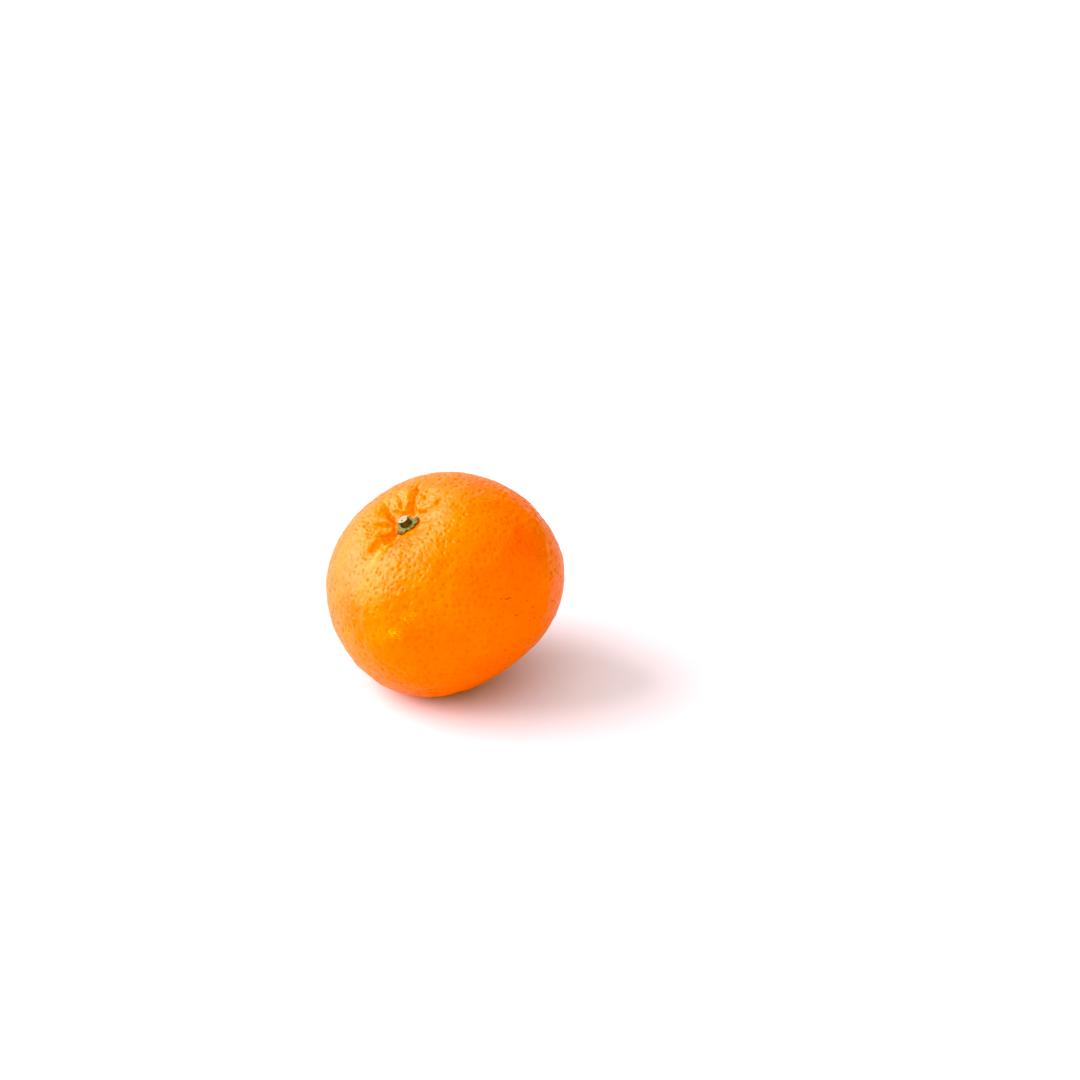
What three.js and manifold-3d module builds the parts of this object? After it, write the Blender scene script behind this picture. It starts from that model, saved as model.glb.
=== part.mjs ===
// A whole mandarin, as picked, resting on the small flat spot of its skin with its stem end
// leaning over. Three pieces: the fruit, the star-shaped calyx in the hollow at its stem end,
// and the cut stub of stem that stands on the calyx.
//
// Millimetres and degrees. The part's frame has +Z up and its origin on the resting plane,
// straight below the middle of the fruit. The fruit itself is shaped in its own frame, with +Z
// along its core towards the stem and azimuth 0 on the side that leans down.

import * as THREE from "three";
import { mergeVertices } from "three/addons/utils/BufferGeometryUtils.js";
import Module from "manifold-3d";

const wasm = await Module();
wasm.setup();

// The fruit's body.
const BELT_RADIUS = 33; // half of its width at the widest belt
const STEM_SIDE = 28; // from the belt to the stem end, before the hollow sinks it
const BLOSSOM_SIDE = 25; // from the belt to the blossom end
const SQUARENESS = 2.16; // 2 is an ellipse, and more is boxier
const LOBES = [
  // slow swellings round the belt, as shares of the radius
  { count: 2, height: 0.013, at: -63 },
  { count: 3, height: 0.013, at: 16 },
  { count: 4, height: 0.012, at: 33 },
];

// The hollow at the stem end, and the folds that gather the skin into it.
const HOLLOW_DEPTH = 4.9;
const HOLLOW_RADIUS = 9;
const FOLD_START = 2.4; // distance from the core where every fold begins
const FOLDS = [
  { at: 20, depth: 1.1, width: 9, reach: 15 },
  { at: 154, depth: 1.2, width: 8, reach: 17 },
  { at: 209, depth: 1.2, width: 8, reach: 16 },
  { at: 260, depth: 0.9, width: 11, reach: 13 },
  { at: 303, depth: 0.6, width: 6, reach: 11 },
  { at: 345, depth: 0.6, width: 6, reach: 11 },
];

// The blossom end's shallow dent.
const SCAR_DENT = 0.9;
const SCAR_DENT_RADIUS = 5;

// How the fruit lies.
const TILT = 28.5; // of the core from upright
const LEANS_TOWARDS = -142; // direction in which the stem end leans, from +X towards +Y
const SEAT_SWELL = 0.026; // the underside is a little full, as a share of the radius
const SEAT_SPREAD = 0.34; // and its spread, as a distance on a sphere of radius 1
const SEAT_DEPTH = 1.4; // how much of the underside the resting spot flattens

// The calyx and the stem.
const CLEARANCE = 0.3; // between pieces that lie on each other
const CALYX_RADIUS = 3.1;
const CALYX_LOBE = 0.5; // how far its five points stand out and its notches fall back
const CALYX_LOBES = 5;
const CALYX_TURN = 18; // azimuth of one point
const CALYX_THICKNESS = 0.7;
const STEM_FOOT_RADIUS = 1.9;
const STEM_RADIUS = 1.4;
const STEM_TOP = 3.2; // height of the cut face above the hollow's floor
const STEM_CUT_EDGE = 0.12;

// Mesh fineness.
const FRUIT_SEGMENTS = 84;
const FRUIT_RINGS = 44;
const RING_BIAS = 1.25; // over 1 brings the rings together at the stem end
const BUTTON_SEGMENTS = 50;
const BUTTON_RINGS = 4;

const radians = THREE.MathUtils.degToRad;

// The direction straight down, seen from the fruit's own frame.
const DOWN = new THREE.Vector3(Math.sin(radians(TILT)), 0, -Math.cos(radians(TILT)));

// The smallest angle between two azimuths, in degrees.
function angleBetween(a, b) {
  return Math.abs(THREE.MathUtils.euclideanModulo(a - b + 180, 360) - 180);
}

// How far the folds cut into the skin at a distance from the core and an azimuth.
function foldDepth(out, azimuth) {
  let depth = 0;
  for (const fold of FOLDS) {
    if (out <= FOLD_START || out >= fold.reach) continue;
    const along = (out - FOLD_START) / (fold.reach - FOLD_START);
    const swell = Math.sin(Math.PI * Math.sqrt(along)) ** 2;
    const off = angleBetween(azimuth, fold.at) / fold.width;
    depth += fold.depth * swell * Math.exp(-off * off);
  }
  return depth;
}

// The level of the smooth skin over the stem end at a distance from the core, without folds.
function stemEndLevel(out) {
  const dome = STEM_SIDE * (1 - (out / BELT_RADIUS) ** SQUARENESS) ** (1 / SQUARENESS);
  return dome - HOLLOW_DEPTH * Math.exp(-((out / HOLLOW_RADIUS) ** 2));
}

// The point of the skin in a direction from the middle of the fruit.
function skinPoint(direction) {
  const across = Math.hypot(direction.x, direction.y);
  const azimuth = Math.atan2(direction.y, direction.x);
  const side = direction.z > 0 ? STEM_SIDE : BLOSSOM_SIDE;
  const oval = (across / BELT_RADIUS) ** SQUARENESS + (Math.abs(direction.z) / side) ** SQUARENESS;
  let swell = 1;
  for (const lobe of LOBES) {
    swell += lobe.height * across * across * Math.cos(lobe.count * (azimuth - radians(lobe.at)));
  }
  const offSeat = direction.distanceToSquared(DOWN) / (2 * SEAT_SPREAD * SEAT_SPREAD);
  swell += SEAT_SWELL * Math.exp(-offSeat);
  const point = direction.clone().multiplyScalar(swell * oval ** (-1 / SQUARENESS));
  const out = Math.hypot(point.x, point.y);
  if (direction.z > 0) {
    point.z -= HOLLOW_DEPTH * Math.exp(-((out / HOLLOW_RADIUS) ** 2));
    point.z -= foldDepth(out, THREE.MathUtils.radToDeg(azimuth));
  } else {
    point.z += SCAR_DENT * Math.exp(-((out / SCAR_DENT_RADIUS) ** 2));
  }
  return point;
}

// A unit sphere whose rings crowd towards the stem end, with its poles on Z.
function ringedSphere() {
  const profile = [];
  for (let ring = 0; ring <= FRUIT_RINGS; ring += 1) {
    const polar = Math.PI * (1 - ring / FRUIT_RINGS) ** RING_BIAS;
    const onAxis = ring === 0 || ring === FRUIT_RINGS;
    profile.push(new THREE.Vector2(onAxis ? 0 : Math.sin(polar), Math.cos(polar)));
  }
  return new THREE.LatheGeometry(profile, FRUIT_SEGMENTS).rotateX(Math.PI / 2);
}

// A closed geometry as a solid, and back.
function solidOf(geometry) {
  const bare = new THREE.BufferGeometry();
  bare.setAttribute("position", geometry.getAttribute("position"));
  bare.setIndex(geometry.index);
  const merged = mergeVertices(bare, 1e-4);
  const mesh = new wasm.Mesh({
    numProp: 3,
    vertProperties: merged.attributes.position.array,
    triVerts: new Uint32Array(merged.index.array),
  });
  return new wasm.Manifold(mesh);
}

function geometryOf(solid) {
  const mesh = solid.getMesh();
  const geometry = new THREE.BufferGeometry();
  geometry.setAttribute("position", new THREE.BufferAttribute(mesh.vertProperties, 3));
  geometry.setIndex(new THREE.BufferAttribute(mesh.triVerts, 1));
  geometry.computeVertexNormals();
  return geometry;
}

// The skin's closed surface, before the resting spot is taken off.
function roundFruit() {
  const geometry = ringedSphere();
  const position = geometry.getAttribute("position");
  const direction = new THREE.Vector3();
  for (let i = 0; i < position.count; i += 1) {
    direction.fromBufferAttribute(position, i).normalize();
    const point = skinPoint(direction);
    position.setXYZ(i, point.x, point.y, point.z);
  }
  return geometry;
}

// How far the skin reaches down from the middle of the fruit.
function reachDown(geometry) {
  const position = geometry.getAttribute("position");
  const point = new THREE.Vector3();
  let reach = 0;
  for (let i = 0; i < position.count; i += 1) {
    reach = Math.max(reach, point.fromBufferAttribute(position, i).dot(DOWN));
  }
  return reach;
}

// The fruit with its underside flattened at the given distance below its middle.
function seatedFruit(geometry, seatDistance) {
  const size = 4 * BELT_RADIUS;
  const below = new THREE.BoxGeometry(size, size, size);
  below.translate(0, 0, -seatDistance - size / 2);
  below.rotateY(-radians(TILT));
  return geometryOf(solidOf(geometry).subtract(solidOf(below)));
}

// A closed plate over a round outline, between an upper and a lower level.
function roundPlate(outlineRadius, lowerLevel, upperLevel) {
  const points = [];
  const faces = [];
  for (const level of [lowerLevel, upperLevel]) {
    points.push(0, 0, level(0));
    for (let ring = 1; ring <= BUTTON_RINGS; ring += 1) {
      for (let step = 0; step < BUTTON_SEGMENTS; step += 1) {
        const azimuth = (2 * Math.PI * step) / BUTTON_SEGMENTS;
        const out = (outlineRadius(azimuth) * ring) / BUTTON_RINGS;
        points.push(out * Math.cos(azimuth), out * Math.sin(azimuth), level(out));
      }
    }
  }
  const sheet = 1 + BUTTON_RINGS * BUTTON_SEGMENTS;
  const at = (side, ring, step) =>
    side * sheet + (ring === 0 ? 0 : 1 + (ring - 1) * BUTTON_SEGMENTS + (step % BUTTON_SEGMENTS));
  for (let step = 0; step < BUTTON_SEGMENTS; step += 1) {
    for (let ring = 1; ring <= BUTTON_RINGS; ring += 1) {
      faces.push(at(1, ring - 1, step), at(1, ring, step), at(1, ring, step + 1));
      faces.push(at(0, ring - 1, step), at(0, ring, step + 1), at(0, ring, step));
      if (ring > 1) {
        faces.push(at(1, ring - 1, step), at(1, ring, step + 1), at(1, ring - 1, step + 1));
        faces.push(at(0, ring - 1, step), at(0, ring - 1, step + 1), at(0, ring, step + 1));
      }
    }
    const rim = BUTTON_RINGS;
    faces.push(at(0, rim, step), at(0, rim, step + 1), at(1, rim, step + 1));
    faces.push(at(0, rim, step), at(1, rim, step + 1), at(1, rim, step));
  }
  const geometry = new THREE.BufferGeometry();
  geometry.setAttribute("position", new THREE.Float32BufferAttribute(points, 3));
  geometry.setIndex(faces);
  geometry.computeVertexNormals();
  return geometry;
}

// The calyx: a thin dished star that lies in the hollow.
function calyxGeometry() {
  const outline = (azimuth) =>
    CALYX_RADIUS + CALYX_LOBE * Math.cos(CALYX_LOBES * (azimuth - radians(CALYX_TURN)));
  const under = (out) => stemEndLevel(out) + CLEARANCE;
  const over = (out) => under(out) + CALYX_THICKNESS;
  return roundPlate(outline, under, over);
}

// The stem: a short cut stub with a flared foot on the calyx.
function stemGeometry() {
  const foot = stemEndLevel(STEM_FOOT_RADIUS) + CALYX_THICKNESS + 2 * CLEARANCE;
  const cut = stemEndLevel(0) + STEM_TOP;
  const waist = foot + (cut - foot) / 2;
  const profile = [
    new THREE.Vector2(0, foot),
    new THREE.Vector2(STEM_FOOT_RADIUS, foot),
    new THREE.Vector2((STEM_FOOT_RADIUS + STEM_RADIUS) / 2, (foot + waist) / 2),
    new THREE.Vector2(STEM_RADIUS, waist),
    new THREE.Vector2(STEM_RADIUS, cut - STEM_CUT_EDGE),
    new THREE.Vector2(STEM_RADIUS - STEM_CUT_EDGE, cut),
    new THREE.Vector2(0, cut),
  ];
  return new THREE.LatheGeometry(profile, BUTTON_SEGMENTS).rotateX(Math.PI / 2);
}

function piece(name, geometry, color, roughness) {
  const material = new THREE.MeshStandardMaterial({ color, roughness, metalness: 0 });
  const mesh = new THREE.Mesh(geometry, material);
  mesh.name = name;
  return mesh;
}

const round = roundFruit();
const seatDistance = reachDown(round) - SEAT_DEPTH;

// The fruit's own frame: tipped over about Y, then turned to the side it leans towards.
const tipped = new THREE.Group();
tipped.rotation.y = radians(TILT);
tipped.add(
  piece("fruit", seatedFruit(round, seatDistance), 0xff7a00, 0.42),
  piece("calyx", calyxGeometry(), 0x77803a, 0.7),
  piece("stem", stemGeometry(), 0x4a3a24, 0.8),
);

const mandarin = new THREE.Group();
mandarin.add(tipped);
mandarin.rotation.z = radians(LEANS_TOWARDS);
mandarin.position.z = seatDistance;

const part = new THREE.Group();
part.add(mandarin);

export default part;
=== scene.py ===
"""A whole mandarin at rest: pebbled rind, puckered stem end, star calyx and cut stem stub.

The fruit is shaped in its own frame, in millimetres, with +Z along the core towards the stem
and azimuth 0 on the side that leans down. It is then laid over into the part's frame, in
metres, with +Z up and the origin on the resting plane.
"""

import logging
import math
from dataclasses import dataclass, field
from enum import Enum

import bpy
import numpy as np
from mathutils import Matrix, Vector, kdtree, noise


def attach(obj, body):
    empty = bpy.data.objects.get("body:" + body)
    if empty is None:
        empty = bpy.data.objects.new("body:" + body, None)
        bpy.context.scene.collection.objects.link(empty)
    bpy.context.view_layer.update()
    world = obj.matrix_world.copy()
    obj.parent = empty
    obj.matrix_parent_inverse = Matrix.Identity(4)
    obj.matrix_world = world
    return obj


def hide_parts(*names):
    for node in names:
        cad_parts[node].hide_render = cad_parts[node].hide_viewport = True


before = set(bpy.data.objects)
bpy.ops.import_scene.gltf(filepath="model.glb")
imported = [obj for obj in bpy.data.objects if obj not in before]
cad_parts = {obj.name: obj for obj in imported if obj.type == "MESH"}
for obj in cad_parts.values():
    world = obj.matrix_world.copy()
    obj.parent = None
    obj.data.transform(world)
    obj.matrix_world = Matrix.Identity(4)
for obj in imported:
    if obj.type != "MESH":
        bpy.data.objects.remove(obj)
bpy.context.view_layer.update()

MM = 0.001
LOG = logging.getLogger("mandarin")

# Vertices that are closer than this are merged.
WELD_GAP = 1e-7
# The direction in which random relief is shifted to get another pattern.
PATTERN_SHIFT = (1.0, 1.7, 0.3)
# How many close points a fold's line has, and over how many of them its corners are rounded.
FOLD_POINTS = 60
FOLD_ROUNDING = 9
# The share of its path that a fold has behind it where it starts.
FOLD_HEAD_START = 0.02
# Width of a fold's sharp crease, as a share of its half-width.
CREASE_WIDTH = 0.3
# How far the noise of the cloudy patches is stretched, so that it fills 0 to 1.
CLOUD_STRETCH = 2.2
# The solid middle of a small dot, as a share of the dot.
DOT_CORE = 0.55

Colour = tuple[float, float, float, float]
Socket = bpy.types.NodeSocket


# --------------------------------------------------------------------------- small tools


def smooth_step(low: float, high: float, value: np.ndarray) -> np.ndarray:
    """Rises smoothly from 0 at low to 1 at high.

    Args:
        low: Where the rise starts.
        high: Where it ends.
        value: The numbers to look up.

    Returns:
        Shares from 0 to 1.
    """
    share = np.clip((value - low) / (high - low), 0.0, 1.0)
    return share * share * (3.0 - 2.0 * share)


def bump(distance: np.ndarray, width: float) -> np.ndarray:
    """A bell that is 1 at distance 0 and fades over a width."""
    return np.exp(-((distance / width) ** 2))


def azimuth_gap(azimuth: np.ndarray, middle: float) -> np.ndarray:
    """The signed angle from one azimuth to others, from -180 to 180 degrees."""
    return (azimuth - middle + 180.0) % 360.0 - 180.0


def around(polar: np.ndarray, azimuth: np.ndarray) -> np.ndarray:
    """Unit directions from their angles.

    Args:
        polar: Angles from +Z, in radians.
        azimuth: Angles from +X towards +Y, in radians.

    Returns:
        Unit directions, one row each.
    """
    flat = np.sin(polar)
    return np.stack([flat * np.cos(azimuth), flat * np.sin(azimuth), np.cos(polar)], axis=1)


def soft_floor(height: np.ndarray, blend: float) -> np.ndarray:
    """Keeps heights from going below zero, with a rounded turn.

    Args:
        height: Heights above the resting plane.
        blend: Half of the span over which the turn is rounded.

    Returns:
        Heights of zero or more.
    """
    turned = (height + blend) ** 2 / (4.0 * blend)
    return np.where(height > blend, height, np.where(height < -blend, 0.0, turned))


def roughness_at(points: np.ndarray, size: float, shift: float) -> np.ndarray:
    """Smooth random relief at points in space.

    Args:
        points: Points in millimetres, one row each.
        size: Size of its swellings, in millimetres.
        shift: Moves the pattern, so that several don't line up.

    Returns:
        One value from about -1 to 1 for each point.
    """
    offset = Vector([shift * part for part in PATTERN_SHIFT])
    return np.array([noise.noise(Vector(point) + offset) for point in points / size])


# ----------------------------------------------------------------- mesh tools, as by hand


class Workbench:
    """Steps that the pieces are made with."""

    @staticmethod
    def clear() -> None:
        """Leaves nothing selected, so that an operator acts on one new piece only."""
        if bpy.context.object and bpy.context.object.mode != "OBJECT":
            bpy.ops.object.mode_set(mode="OBJECT")
        bpy.ops.object.select_all(action="DESELECT")

    @staticmethod
    def named(name: str) -> bpy.types.Object:
        """Names the piece in hand.

        Args:
            name: The piece's name.

        Returns:
            The piece.
        """
        piece = bpy.context.object
        piece.name = name
        piece.data.name = name
        return piece

    @staticmethod
    def points(piece: bpy.types.Object) -> np.ndarray:
        """Reads where a piece's vertices are.

        Args:
            piece: The piece.

        Returns:
            Points, one row each.
        """
        flat = np.zeros(len(piece.data.vertices) * 3)
        piece.data.vertices.foreach_get("co", flat)
        return flat.reshape(-1, 3)

    @staticmethod
    def place(piece: bpy.types.Object, points: np.ndarray) -> None:
        """Moves a piece's vertices.

        Args:
            piece: The piece.
            points: Their new places, one row each.
        """
        piece.data.vertices.foreach_set("co", points.astype(np.float32).ravel())
        piece.data.update()

    @staticmethod
    def normals(piece: bpy.types.Object) -> np.ndarray:
        """Reads which way a piece's surface faces.

        Args:
            piece: The piece.

        Returns:
            Unit directions, one row for each vertex.
        """
        flat = np.zeros(len(piece.data.vertices) * 3, np.float32)
        piece.data.vertex_normals.foreach_get("vector", flat)
        return flat.reshape(-1, 3).astype(float)

    @staticmethod
    def paint(piece: bpy.types.Object, mask: str, values: np.ndarray) -> None:
        """Stores a mask that a finish reads.

        Args:
            piece: The piece.
            mask: The mask's name.
            values: One value for each vertex, cut to between 0 and 1.
        """
        layer = piece.data.attributes.new(mask, "FLOAT", "POINT")
        layer.data.foreach_set("value", np.clip(values, 0.0, 1.0).astype(np.float32))

    @staticmethod
    def face_outwards() -> None:
        """Merges the doubles of the piece in hand and turns every face outwards."""
        bpy.ops.object.mode_set(mode="EDIT")
        bpy.ops.mesh.select_all(action="SELECT")
        bpy.ops.mesh.remove_doubles(threshold=WELD_GAP)
        bpy.ops.mesh.normals_make_consistent(inside=False)
        bpy.ops.object.mode_set(mode="OBJECT")
        bpy.ops.object.shade_smooth()


class Part(Enum):
    """The mandarin's parts: the node and the material slot that each stands for."""

    FRUIT = ("fruit", "rind")
    CALYX = ("calyx", "calyx")
    STEM = ("stem", "stem")

    def put_in_place(self, piece: bpy.types.Object, finish: bpy.types.Material) -> None:
        """Gives a piece its finish and lets it stand for the part.

        Args:
            piece: The finished mesh.
            finish: Its material.
        """
        node, slot = self.value
        piece.data.materials.clear()
        piece.data.materials.append(finish)
        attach(piece, "root")
        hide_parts(node)
        LOG.info("%s stands for %s: %d faces", piece.name, node, len(piece.data.polygons))


# ------------------------------------------------------------------- the fruit's own form


@dataclass(frozen=True)
class Lie:
    """How the fruit lies on the resting plane.

    Attributes:
        tilt: Angle of the core from upright, in degrees.
        leans_towards: Direction in which the stem end leans, from +X towards +Y.
        seat_depth: How much of the underside the resting spot flattens, in millimetres.
        seat_round: Half of the span over which its edge is rounded.
    """

    tilt: float = 28.5
    leans_towards: float = -142.0
    seat_depth: float = 1.4
    seat_round: float = 0.45

    @property
    def down(self) -> np.ndarray:
        """The direction straight down, seen from the fruit's own frame."""
        tilt = math.radians(self.tilt)
        return np.array([math.sin(tilt), 0.0, -math.cos(tilt)])

    def turned(self, points: np.ndarray) -> np.ndarray:
        """Turns points from the fruit's own frame to the part's directions.

        Args:
            points: Points or directions, one row each.

        Returns:
            The turned rows, about the fruit's middle.
        """
        tilt, lean = math.radians(self.tilt), math.radians(self.leans_towards)
        x = math.cos(tilt) * points[:, 0] + math.sin(tilt) * points[:, 2]
        y = points[:, 1]
        z = -math.sin(tilt) * points[:, 0] + math.cos(tilt) * points[:, 2]
        along = math.cos(lean) * x - math.sin(lean) * y
        across = math.sin(lean) * x + math.cos(lean) * y
        return np.stack([along, across, z], axis=1)


@dataclass(frozen=True)
class Lobe:
    """A slow swelling round the belt: how many crests, how high and where one is."""

    count: int
    height: float
    at: float


@dataclass(frozen=True)
class SkinForm:
    """The smooth form of the rind, without folds and pores, in millimetres.

    Attributes:
        belt_radius: Radius round the belt.
        stem_side: Height of the stem end's dome above the belt.
        blossom_side: Height of the blossom end below the belt.
        squareness: Power of the oval, 2 for an ellipse and more for fuller shoulders.
        lobes: Slow swellings round the belt.
        hollow_depth: Depth of the hollow that the calyx lies in.
        hollow_radius: How wide that hollow is.
        scar_dent: Depth of the dent round the blossom scar.
        scar_dent_radius: How wide that dent is.
        seat_swell: Share by which the skin bulges round the resting spot.
        seat_spread: How far that bulge spreads, as a share of the radius.
    """

    belt_radius: float = 33.0
    stem_side: float = 28.0
    blossom_side: float = 25.0
    squareness: float = 2.16
    lobes: tuple[Lobe, ...] = (
        Lobe(2, 0.013, -63.0),
        Lobe(3, 0.013, 16.0),
        Lobe(4, 0.012, 33.0),
    )
    hollow_depth: float = 4.9
    hollow_radius: float = 9.0
    scar_dent: float = 0.9
    scar_dent_radius: float = 5.0
    seat_swell: float = 0.026
    seat_spread: float = 0.34

    def points(self, directions: np.ndarray, down: np.ndarray) -> np.ndarray:
        """The skin's points in the given directions from the middle of the fruit.

        Args:
            directions: Unit directions, one row each.
            down: The direction straight down, in the same frame.

        Returns:
            Points in millimetres.
        """
        across = np.hypot(directions[:, 0], directions[:, 1])
        azimuth = np.arctan2(directions[:, 1], directions[:, 0])
        side = np.where(directions[:, 2] > 0, self.stem_side, self.blossom_side)
        power = self.squareness
        oval = (across / self.belt_radius) ** power
        oval = oval + (np.abs(directions[:, 2]) / side) ** power
        swell = np.ones(len(directions))
        for lobe in self.lobes:
            turn = lobe.count * (azimuth - math.radians(lobe.at))
            swell += lobe.height * across**2 * np.cos(turn)
        off_seat = np.linalg.norm(directions - down, axis=1)
        swell += self.seat_swell * bump(off_seat, math.sqrt(2.0) * self.seat_spread)
        points = directions * (swell * oval ** (-1.0 / power))[:, None]
        out = np.hypot(points[:, 0], points[:, 1])
        points[:, 2] += np.where(
            directions[:, 2] > 0,
            -self.hollow_depth * bump(out, self.hollow_radius),
            self.scar_dent * bump(out, self.scar_dent_radius),
        )
        return points

    def stem_end_level(self, out: np.ndarray) -> np.ndarray:
        """Height of the smooth skin over the stem end.

        Args:
            out: Distances from the core, in millimetres.

        Returns:
            Heights above the fruit's middle, in millimetres.
        """
        dome = 1.0 - (out / self.belt_radius) ** self.squareness
        dome = self.stem_side * dome ** (1.0 / self.squareness)
        return dome - self.hollow_depth * bump(out, self.hollow_radius)


class Relief(Enum):
    """Which way a fold moves the skin."""

    VALLEY = -1.0
    RIDGE = 1.0


@dataclass(frozen=True)
class Fold:
    """A valley or ridge that runs from the calyx out over the shoulder.

    Attributes:
        relief: Whether the skin is pressed in or raised.
        path: Its line, as (distance from the core, azimuth), from the calyx outwards.
        height: Depth or height at its strongest, in millimetres.
        half_width: Half of its width, in millimetres.
        keenness: Share of it that is a sharp crease along the middle.
        fade_in: Share of the path over which it starts.
        fade_out: Share of the path after which it fades away.
        pale: How much its skin is painted pale yellow, partly its own yellowed tone and partly
            painted highlight on the ridge.
    """

    relief: Relief
    path: tuple[tuple[float, float], ...]
    height: float
    half_width: float
    keenness: float = 0.0
    fade_in: float = 0.12
    fade_out: float = 0.45
    pale: float = 0.0

    def line(self) -> np.ndarray:
        """Its path, rounded.

        Returns:
            Close points in the plane across the core, one row each.
        """
        steps = np.linspace(0.0, 1.0, FOLD_POINTS) * (len(self.path) - 1)
        out = np.interp(steps, range(len(self.path)), [spot[0] for spot in self.path])
        turn = np.interp(steps, range(len(self.path)), [spot[1] for spot in self.path])
        turn = np.radians(turn)
        line = np.stack([out * np.cos(turn), out * np.sin(turn)], axis=1)
        kernel = np.ones(FOLD_ROUNDING) / FOLD_ROUNDING
        ends = FOLD_ROUNDING // 2
        padded = np.pad(line, ((ends, ends), (0, 0)), mode="edge")
        rounded = [np.convolve(padded[:, axis], kernel, mode="valid") for axis in (0, 1)]
        return np.stack(rounded, axis=1)

    def share(self, spots: np.ndarray) -> tuple[np.ndarray, np.ndarray]:
        """How strongly the fold acts at spots in the plane across the core.

        Args:
            spots: Rows of x and y in millimetres.

        Returns:
            Shares from 0 to 1 of the whole fold, and of its sharp crease alone.
        """
        line = self.line()
        gaps = np.linalg.norm(spots[:, None, :] - line[None, :, :], axis=2)
        nearest = gaps.argmin(axis=1)
        gap = gaps[np.arange(len(spots)), nearest]
        along = nearest / (len(line) - 1)
        strength = smooth_step(0.0, self.fade_in, along + FOLD_HEAD_START)
        strength = strength * (1.0 - smooth_step(self.fade_out, 1.0, along))
        round_part = bump(gap, self.half_width)
        keen_part = self.keenness * np.exp(-gap / (CREASE_WIDTH * self.half_width))
        whole = (1.0 - self.keenness) * round_part + keen_part
        return strength * whole, strength * keen_part


VALLEY, RIDGE = Relief.VALLEY, Relief.RIDGE
FOLDS: tuple[Fold, ...] = (
    Fold(
        VALLEY,
        ((3.2, 196), (5.8, 211), (8.4, 212), (11.2, 213), (13.6, 213), (16.5, 213)),
        height=0.65,
        half_width=0.60,
        keenness=0.10,
        fade_out=0.62,
    ),
    Fold(
        VALLEY,
        ((3.4, 172), (5.7, 159), (7.7, 149), (9.6, 155), (11.2, 156), (13.5, 153), (17, 148)),
        height=0.60,
        half_width=0.50,
        keenness=0.25,
        fade_out=0.55,
    ),
    Fold(
        VALLEY,
        ((3.2, 282), (5.5, 274), (8.2, 268), (10.6, 264), (14.0, 262)),
        height=1.10,
        half_width=1.4,
        fade_out=0.50,
    ),
    Fold(
        VALLEY,
        ((2.8, 314), (4.5, 308), (5.9, 304), (7.7, 304), (10.0, 303)),
        height=0.95,
        half_width=0.55,
        keenness=0.6,
        fade_out=0.60,
    ),
    Fold(
        VALLEY,
        ((3.0, 358), (4.6, 350), (5.9, 344), (8.0, 340), (10.5, 338)),
        height=1.05,
        half_width=0.55,
        keenness=0.6,
        fade_out=0.60,
    ),
    Fold(
        VALLEY,
        (
            (3.4, 368),
            (6.0, 370),
            (8.2, 366),
            (9.8, 358),
            (12.0, 362),
            (15.0, 368),
            (19.0, 371),
        ),
        height=1.25,
        half_width=1.6,
    ),
    Fold(VALLEY, ((8.5, 66), (11.1, 65), (14.0, 61)), height=0.22, half_width=0.6),
    Fold(VALLEY, ((5.0, 96), (7.5, 92), (10.0, 90)), height=0.25, half_width=0.8),
    Fold(VALLEY, ((5.0, 122), (8.0, 118), (11.0, 116)), height=0.28, half_width=0.8),
    Fold(VALLEY, ((6.0, 238), (9.0, 240), (13.0, 242)), height=0.30, half_width=0.5),
    Fold(VALLEY, ((7.0, 190), (10.0, 188), (14.0, 186)), height=0.40, half_width=0.9),
    Fold(
        RIDGE,
        ((4.0, 236), (6.6, 229), (9.7, 226), (12.5, 229), (15.0, 231)),
        height=0.75,
        half_width=1.15,
        pale=0.30,
    ),
    Fold(
        RIDGE,
        ((4.4, 188), (5.8, 180), (6.9, 168), (8.6, 161), (10.8, 162), (15.0, 158)),
        height=0.75,
        half_width=0.80,
        pale=0.10,
    ),
    Fold(
        RIDGE,
        ((5.5, 139), (8.4, 133), (11.0, 134), (15.0, 138)),
        height=0.45,
        half_width=1.3,
    ),
    Fold(
        RIDGE,
        ((3.8, 262), (6.0, 250), (8.7, 244), (12.5, 243)),
        height=0.65,
        half_width=1.0,
    ),
    Fold(
        RIDGE,
        ((3.6, 297), (5.4, 293), (6.9, 292), (9.5, 290)),
        height=0.75,
        half_width=0.9,
    ),
    Fold(RIDGE, ((3.6, 336), (5.7, 324), (9.0, 320)), height=0.75, half_width=0.95),
    Fold(RIDGE, ((7.0, 352), (9.0, 346), (12.0, 342)), height=0.45, half_width=1.0),
    Fold(
        RIDGE,
        ((5.0, 30), (7.7, 29), (8.9, 28), (10.4, 20), (12.0, 18), (14.0, 16), (17.0, 15)),
        height=0.45,
        half_width=0.95,
        fade_out=0.60,
    ),
    Fold(
        RIDGE,
        ((9.0, 27), (10.6, 20), (12.0, 18), (14.0, 16.5), (16.5, 16), (19.5, 16)),
        height=0.10,
        half_width=1.30,
        fade_out=0.60,
        pale=0.70,
    ),
)


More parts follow.
